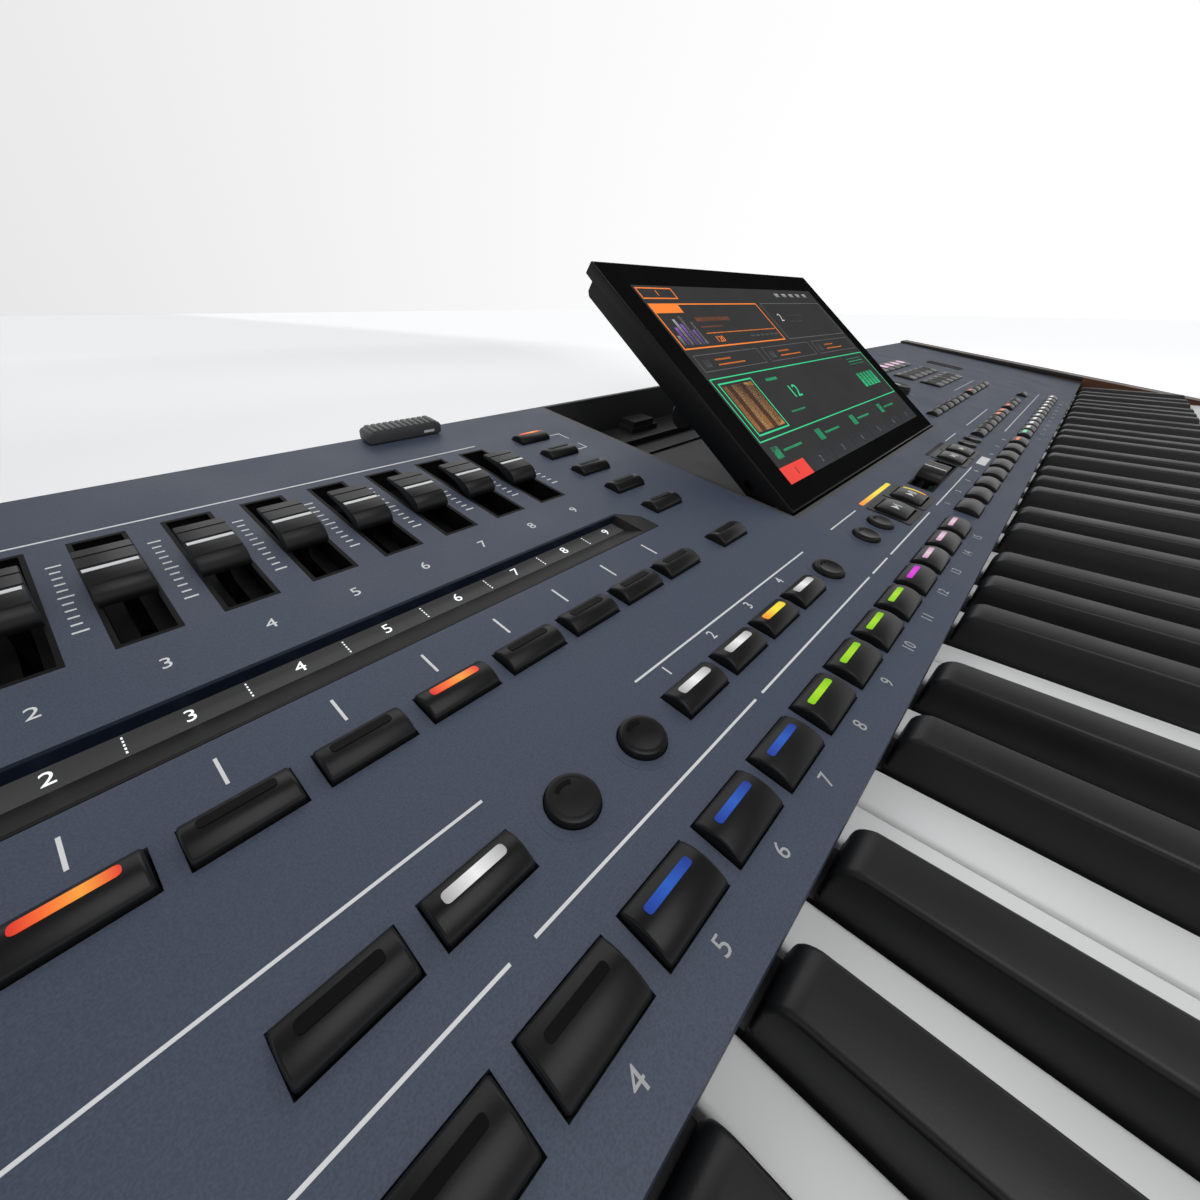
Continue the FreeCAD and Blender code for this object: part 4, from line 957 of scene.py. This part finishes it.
# Strip display: separators and plain numerals
strip_low, strip_high = solids("strip_display", panel)[0]
strip_marks = bmesh.new()
pitch = (strip_x[8] - strip_x[0]) / 8
strip_v = (strip_low.y + strip_high.y) / 2
for index, x in enumerate(strip_x):
    add(strip_marks, numeral(str(index + 1), strip_numeral),
        panel @ Matrix.Translation((x, strip_v, strip_high.z + print_depth / 2)))
for x in strip_x[:-1]:
    separator = x + pitch / 2
    for dash in range(5):
        v = strip_v + dash_pitch * (dash - 2)
        dash_low = (separator - dash_half_width, v - dash_half_length, strip_high.z)
        dash_high = (separator + dash_half_width, v + dash_half_length, strip_high.z + print_depth)
        add(strip_marks, block(dash_low, dash_high), panel)
piece("strip_display_marks", strip_marks, "case", "screen_glass", [strip_light])

# Leaning rear wall of the strip display, with its rim on the panel, in the panel's blue darkened as painted
# shade of the recess
bezel_high = solids("strip_bezel", panel)[0][1]
wall_left = strip_low.x - strip_wall_reach
wall_right = strip_high.x + strip_wall_reach
wall_v = bezel_high.y - strip_wall_gap
wall = [(strip_low.x, strip_high.y, strip_high.z), (strip_high.x, strip_high.y, strip_high.z),
        (wall_right, wall_v, 0.00003), (wall_left, wall_v, 0.00003)]
wall_rim = [(wall_left, wall_v, 0.0), (wall_right, wall_v, 0.0), (wall_right, bezel_high.y, 0.0),
            (wall_left, bezel_high.y, 0.0)]
strip_wall = bmesh.new()
add(strip_wall, extruded(wall, (0, -0.00015, 0.00004)), panel)
add(strip_wall, extruded(wall_rim, (0, 0, 0.00007)), panel)
piece("strip_rear_wall", strip_wall, "case", "black_plastic", [wall_shade_navy])

# Tilting display
frame_low, frame_high = solids("display_frame", display)[0]
frame_width = frame_high.x - frame_low.x
frame_depth = frame_high.y - frame_low.y
side_view = [(frame_low.y, frame_low.z), (frame_high.y - 0.0072, frame_low.z),
             (frame_high.y - 0.0053, frame_low.z + 0.0016), (frame_high.y - 0.0051, 0.0),
             (frame_high.y, 0.0002), (frame_high.y, frame_high.z - glass_sink),
             (frame_low.y, frame_high.z - glass_sink)]
shell = extruded([(frame_low.x, y, z) for y, z in side_view], (frame_width, 0, 0))
round_edges(shell, sharp_edges(shell, 40.0), housing_round, 2)
housing = bmesh.new()
add(housing, shell, display)
piece("display_housing", housing, "display", "display_plastic", [display_black], "display_frame")

front = bmesh.new()
pane = rounded_plate(frame_width - glass_margin, frame_depth - glass_margin, glass_round, glass_thickness)
pane_place = Matrix.Translation((0, (frame_low.y + frame_high.y) / 2, frame_high.z - glass_thickness))
add(front, pane, display @ pane_place)
piece("display_front_glass", front, "display", "screen_glass", [gloss_black], "display_glass")

boss = bmesh.new()
quarter = math.radians(90.0)
boss_place = Matrix.Translation((frame_low.x + boss_length, 0.061, -0.0105))
boss_place = boss_place @ Matrix.Rotation(quarter, 4, "Y")
boss_profile = [(0.0, boss_length), (boss_radius, boss_length), (boss_radius, 0.0006), (0.0056, 0.0),
                (0.0, 0.0)]
add(boss, turned(boss_profile, 28), display @ boss_place)
# Near-black plate on the display's side: painted shade of the slot's opening
slot_turn = Matrix.Rotation(quarter, 4, "Z") @ Matrix.Rotation(quarter, 4, "X")
slot_place = Matrix.Translation((frame_low.x - 0.0001, 0.0156, -0.0019)) @ slot_turn
add(boss, rounded_plate(*side_slot, side_slot_round, side_slot_height), display @ slot_place, 1)
piece("display_side_boss", boss, "display", "display_plastic", [display_black, painted_slot_shade])

# Picture on the screen: plain bars, frames and numerals
picture = bmesh.new()
glass = frame_high.z


def bar(x_from, y_from, x_to, y_to, colour, lift=patch_lift):
    """Filled patch of the screen."""
    patch = block((x_from, y_from, glass - patch_sink), (x_to, y_to, glass + lift))
    add(picture, patch, display, screen_colours.index(colour))


def outline(x_from, y_from, x_to, y_to, width, colour):
    """Framed patch of the screen."""
    bar(x_from, y_from, x_to, y_from + width, colour, frame_lift)
    bar(x_from, y_to - width, x_to, y_to, colour, frame_lift)
    bar(x_from, y_from, x_from + width, y_to, colour, frame_lift)
    bar(x_to - width, y_from, x_to, y_to, colour, frame_lift)


def figure(text, x, y, height, colour):
    """Numeral on the screen."""
    place = display @ Matrix.Translation((x, y, glass + frame_lift))
    add(picture, numeral(text, height), place, screen_colours.index(colour))


bar(-0.0994, 0.0056, 0.0994, 0.1222, "grey")
outline(-0.0980, 0.1135, -0.0700, 0.1208, 0.0007, "orange")
figure("1", -0.0840, 0.1171, 0.0036, "orange")
for index in range(5):
    bar(0.040 + 0.0105 * index, 0.1158, 0.0455 + 0.0105 * index, 0.1188, "pale")
outline(-0.0980, 0.0820, 0.0050, 0.1105, 0.0008, "orange")
bar(-0.0980, 0.1045, -0.0750, 0.1105, "orange", title_lift)
bar(-0.0700, 0.0985, -0.0380, 0.1012, "orange")
bar(-0.0700, 0.0945, -0.0500, 0.0955, "orange")
bar(-0.0700, 0.0905, 0.0030, 0.0911, "orange")
figure("120", -0.0620, 0.0865, 0.0038, "orange")
for index, height in enumerate([0.006, 0.011, 0.016, 0.013, 0.018, 0.009, 0.014]):
    x = -0.0955 + 0.0031 * index
    bar(x, 0.0845, x + 0.0021, 0.0845 + height, "violet" if index % 2 else "pale")
for index in range(6):
    bar(-0.030 + 0.0055 * index, 0.0865, -0.026 + 0.0055 * index, 0.0875, "dim")
outline(0.0100, 0.0820, 0.0975, 0.1105, 0.0004, "dim")
figure("2", 0.0220, 0.0985, 0.0060, "pale")
bar(0.0310, 0.1000, 0.0560, 0.1010, "dim")
bar(0.0310, 0.0950, 0.0480, 0.0956, "dim")
for index in range(3):
    x = -0.0960 + 0.0655 * index
    outline(x, 0.0685, x + 0.0600, 0.0785, 0.0003, "dim")
    bar(x + 0.0040, 0.0710, x + 0.0095, 0.0755, "dim")
    bar(x + 0.0150, 0.0742, x + 0.0290, 0.0752, "orange")
    bar(x + 0.0150, 0.0712, x + 0.0400, 0.0720, "orange")
outline(-0.0980, 0.0280, 0.0980, 0.0645, 0.0006, "green")
outline(-0.0945, 0.0310, -0.0640, 0.0615, 0.0008, "green")
for index in range(7):
    x = -0.0925 + 0.0038 * index
    bar(x, 0.0330, x + 0.0036, 0.0595, ["amber", "brown", "tan"][index % 3])
figure("12", -0.0330, 0.0480, 0.0080, "green")
bar(-0.0520, 0.0575, -0.0400, 0.0592, "green")
bar(-0.0520, 0.0370, -0.0360, 0.0380, "green")
for index in range(5):
    bar(0.0600 + 0.0060 * index, 0.0380, 0.0645 + 0.0060 * index, 0.0490, "green")
for index in range(3):
    bar(0.0640, 0.0560 + 0.0022 * index, 0.0900, 0.0566 + 0.0022 * index, "green")
for index in range(4):
    x = -0.0940 + 0.0480 * index
    bar(x, 0.0180, x + 0.0060, 0.0245, "green")
    bar(x + 0.0090, 0.0203, x + 0.0280, 0.0215, "green")
bar(-0.0994, 0.0056, -0.0752, 0.0142, "red", title_lift)
figure("1", -0.0870, 0.0099, 0.0040, "grey")
for index in range(6):
    x = -0.0735 + 0.0288 * index
    bar(x, 0.0056, x + 0.0275, 0.0140, "slate")
    figure(str(index + 2), x + 0.0137, 0.0098, 0.0036, "dim")
piece("screen_picture", picture, "display", "screen_glass", screen_finishes)

# Speaker latch: ribbed slide on a foot, with a white mark at its front
latch_low, latch_high = solids("speaker_latch", panel)[0]
rib = (latch_high.x - latch_low.x - 2 * latch_end) / latch_ribs
latch_side = [(0.0006, 0.0004), (0.0, 0.0012), (0.0, latch_high.z - 0.002), (0.0008, latch_high.z - 0.0009)]
latch_points = [(latch_low.x + inset, height) for inset, height in latch_side]
for index in range(latch_ribs):
    x = latch_low.x + latch_end + rib * index
    latch_points += [(x, latch_high.z - rib_fall), (x + rib * 0.2, latch_high.z),
                     (x + rib * 0.8, latch_high.z), (x + rib, latch_high.z - rib_fall)]
latch_points += [(latch_high.x - inset, height) for inset, height in reversed(latch_side)]
latch_view = []
for point in latch_points:
    if not latch_view or (Vector(point) - Vector(latch_view[-1])).length > hair:
        latch_view.append(point)
latch_depth = latch_high.y - latch_low.y
slide = extruded([(x, latch_low.y, height) for x, height in latch_view], (0, latch_depth, 0))
ends = [edge for edge in sharp_edges(slide, 60.0)
        if abs(edge.verts[0].co.y - edge.verts[1].co.y) < merge_distance]
round_edges(slide, ends, latch_round, 2)
latch = bmesh.new()
add(latch, slide, panel)
latch_x = (latch_low.x + latch_high.x) / 2
add(latch, rounded_block((latch_x - latch_foot_half, latch_low.y + latch_foot_inset, -0.0058),
                         (latch_x + latch_foot_half, latch_high.y - latch_foot_inset, 0.001), 0.0004), panel)
add(latch, block((latch_high.x - 0.0085, latch_low.y - 0.00005, 0.0016),
                 (latch_high.x - 0.0035, latch_low.y + 0.00025, 0.0026)), panel, 1)
piece("speaker_latch_slide", latch, "speaker_latch", "black_plastic", [latch_grey, print_white],
      "speaker_latch")

# Volume knob: dished cap with teeth, its shaft and a white pointer
knob_top = knob_high.z
knob_place = panel @ Matrix.Translation((knob_x, knob_v, 0.0))
knob_profile = [(0.0, knob_top - 0.0006), (0.0060, knob_top - 0.0004), (0.0078, knob_top),
                (0.0084, knob_top - 0.0004), (0.0086, knob_top - 0.0012), (knob_radius, 0.0012),
                (knob_radius, 0.0006), (0.0, 0.0006)]
knob = bmesh.new()
add(knob, turned(knob_profile, 48), knob_place)
for index in range(knob_teeth):
    tooth = rounded_block((0.0084, -0.0003, 0.002), (knob_radius, 0.0003, knob_top - 0.0022), 0.00015, 1)
    add(knob, tooth, knob_place @ Matrix.Rotation(math.tau * index / knob_teeth, 4, "Z"))
shaft = [(0.0, 0.001), (knob_shaft_radius, 0.001), (knob_shaft_radius, knob_low.z), (0.0, knob_low.z)]
add(knob, turned(shaft, 20), knob_place)
pointer = rounded_block((-0.0011, 0.0002, knob_top - 0.0008), (0.0011, 0.0080, knob_top + 0.00004), 0.0001, 1)
add(knob, pointer, knob_place, 1)
piece("volume_dial", knob, "volume_knob", "black_plastic", [cap_black, print_white], "volume_knob")

# Dark bands along the top edges of the cheeks: painted shade where the cheeks' inner faces lie in shadow
# above the panel
cheek_low, cheek_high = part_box("end_cheek_right")
cheek_fall = (cheek_high.z - cheek_front_top) / (cheek_high.y - cheek_low.y)
edge_ends = [(panel_low.y, cheek_high.z - (cheek_high.y - panel_low.y) * cheek_fall),
             (cheek_high.y - cheek_end_gap, cheek_high.z - cheek_end_gap * cheek_fall)]
for side, inner in (("left", panel_low.x - 0.003), ("right", panel_high.x - 0.0002)):
    shade_band_points = [(inner, y, top - shade_band_drop) for y, top in edge_ends]
    shade_band_points += [(inner, y, top + shade_band_rise) for y, top in reversed(edge_ends)]
    band = extruded(shade_band_points, (shade_band_width, 0, 0))
    round_edges(band, sharp_edges(band, 60.0), shade_band_round, 2)
    piece("cheek_edge_" + side, band, "case", "black_plastic", [shade_band_black])


# Studio
def joined(nodes, operation):
    """Node that joins two values by an operation."""
    node = nodes.new("ShaderNodeMath")
    node.operation = operation
    return node


def seen_rays(nodes, links):
    """Socket that is 1 for what the camera, mirrors and glass see, and 0 for light on the object."""
    rays = nodes.new("ShaderNodeLightPath")
    seen = joined(nodes, "MAXIMUM")
    mirrored = joined(nodes, "MAXIMUM")
    links.new(rays.outputs["Is Camera Ray"], seen.inputs[0])
    links.new(rays.outputs["Is Glossy Ray"], mirrored.inputs[0])
    links.new(rays.outputs["Is Transmission Ray"], mirrored.inputs[1])
    links.new(mirrored.outputs[0], seen.inputs[1])
    return seen.outputs[0]


# Floor that whitens with distance and towards the right
white_floor = moulded("floor_paper", (0.84, 0.84, 0.84), 0.9, 300.0, 0.00001, 0.01)
floor_nodes = white_floor.node_tree.nodes
floor_links = white_floor.node_tree.links
floor_surface = floor_nodes["Principled BSDF"]
floor_place = floor_nodes.new("ShaderNodeTexCoord")
distance = floor_nodes.new("ShaderNodeVectorMath")
distance.operation = "LENGTH"
far_white = spread(floor_nodes, 1.0, 2.6, 0.19, 0.50)
sideways = floor_nodes.new("ShaderNodeSeparateXYZ")
right_white = spread(floor_nodes, 0.3, 1.6, 0.0, 0.62)
brighter = joined(floor_nodes, "MAXIMUM")
brightness = joined(floor_nodes, "MULTIPLY")
floor_links.new(floor_place.outputs["Object"], distance.inputs[0])
floor_links.new(distance.outputs["Value"], far_white.inputs["Value"])
floor_links.new(floor_place.outputs["Object"], sideways.inputs["Vector"])
floor_links.new(sideways.outputs["X"], right_white.inputs["Value"])
floor_links.new(far_white.outputs["Result"], brighter.inputs[0])
floor_links.new(right_white.outputs["Result"], brighter.inputs[1])
floor_links.new(seen_rays(floor_nodes, floor_links), brightness.inputs[0])
floor_links.new(brighter.outputs[0], brightness.inputs[1])
floor_surface.inputs["Emission Color"].default_value = (1.0, 1.0, 1.0, 1.0)
floor_links.new(brightness.outputs[0], floor_surface.inputs["Emission Strength"])
floor_shape = bmesh.new()
bmesh.ops.create_grid(floor_shape, x_segments=8, y_segments=8, size=9.0)
floor_mesh = bpy.data.meshes.new("floor")
floor_shape.to_mesh(floor_mesh)
floor_shape.free()
floor_mesh.materials.append(white_floor)
floor = bpy.data.objects.new("floor", floor_mesh)
scene.collection.objects.link(floor)

# World: soft light on the object, and a pale backdrop that mirrors see darken towards the top
world = bpy.data.worlds.new("studio")
world.use_nodes = True
scene.world = world
sky = world.node_tree.nodes
wires = world.node_tree.links
soft_light = sky["Background"]
soft_light.inputs["Color"].default_value = (0.95, 0.97, 1.0, 1.0)
soft_light.inputs["Strength"].default_value = 0.42
backdrop = sky.new("ShaderNodeBackground")
backdrop.inputs["Color"].default_value = (1.0, 1.0, 1.0, 1.0)
facing = sky.new("ShaderNodeTexCoord")
direction = sky.new("ShaderNodeSeparateXYZ")
wires.new(facing.outputs["Generated"], direction.inputs["Vector"])
fade = spread(sky, 0.34, 0.52, 1.0, 0.12)
wires.new(direction.outputs["Z"], fade.inputs["Value"])
paling = spread(sky, 0.0, 0.9, 0.80, 1.0)
wires.new(direction.outputs["X"], paling.inputs["Value"])
backdrop_tone = sky.new("ShaderNodeMix")
wires.new(sky.new("ShaderNodeLightPath").outputs["Is Camera Ray"], backdrop_tone.inputs["Factor"])
wires.new(fade.outputs["Result"], backdrop_tone.inputs["A"])
wires.new(paling.outputs["Result"], backdrop_tone.inputs["B"])
wires.new(backdrop_tone.outputs["Result"], backdrop.inputs["Strength"])
choice = sky.new("ShaderNodeMixShader")
wires.new(seen_rays(sky, wires), choice.inputs["Fac"])
wires.new(soft_light.outputs["Background"], choice.inputs[1])
wires.new(backdrop.outputs["Background"], choice.inputs[2])
wires.new(choice.outputs["Shader"], sky["World Output"].inputs["Surface"])


def lamp(name, place, target, size, power):
    """Soft rectangular studio light that faces a point."""
    light = bpy.data.lights.new(name, "AREA")
    light.shape = "RECTANGLE"
    light.size = size[0]
    light.size_y = size[1]
    light.energy = power
    holder = bpy.data.objects.new(name, light)
    holder.location = place
    holder.rotation_euler = (Vector(target) - Vector(place)).to_track_quat("-Z", "Y").to_euler()
    scene.collection.objects.link(holder)


lamp("back_softbox", (0.55, 1.15, 1.3), (-0.1, 0.0, 0.1), (2.0, 1.0), 9.5)
lamp("overhead", (-0.22, -0.35, 0.95), (-0.15, 0.0, 0.1), (0.7, 0.7), 4.2)

# Camera, fitted to the keys and the panel of the photograph
lens = bpy.data.cameras.new("camera")
lens.lens = 14.834
lens.sensor_width = 36.0
lens.clip_start = 0.005
camera = bpy.data.objects.new("camera", lens)
heading = math.radians(47.88)
elevation = math.radians(-31.23)
roll = math.radians(0.27)
camera.matrix_world = (Matrix.Translation((-0.2875, -0.02906, 0.17455)) @ Matrix.Rotation(-heading, 4, "Z")
                       @ Matrix.Rotation(math.radians(90.0) + elevation, 4, "X")
                       @ Matrix.Rotation(roll, 4, "Z"))
scene.collection.objects.link(camera)
scene.camera = camera
scene.view_settings.view_transform = "Standard"
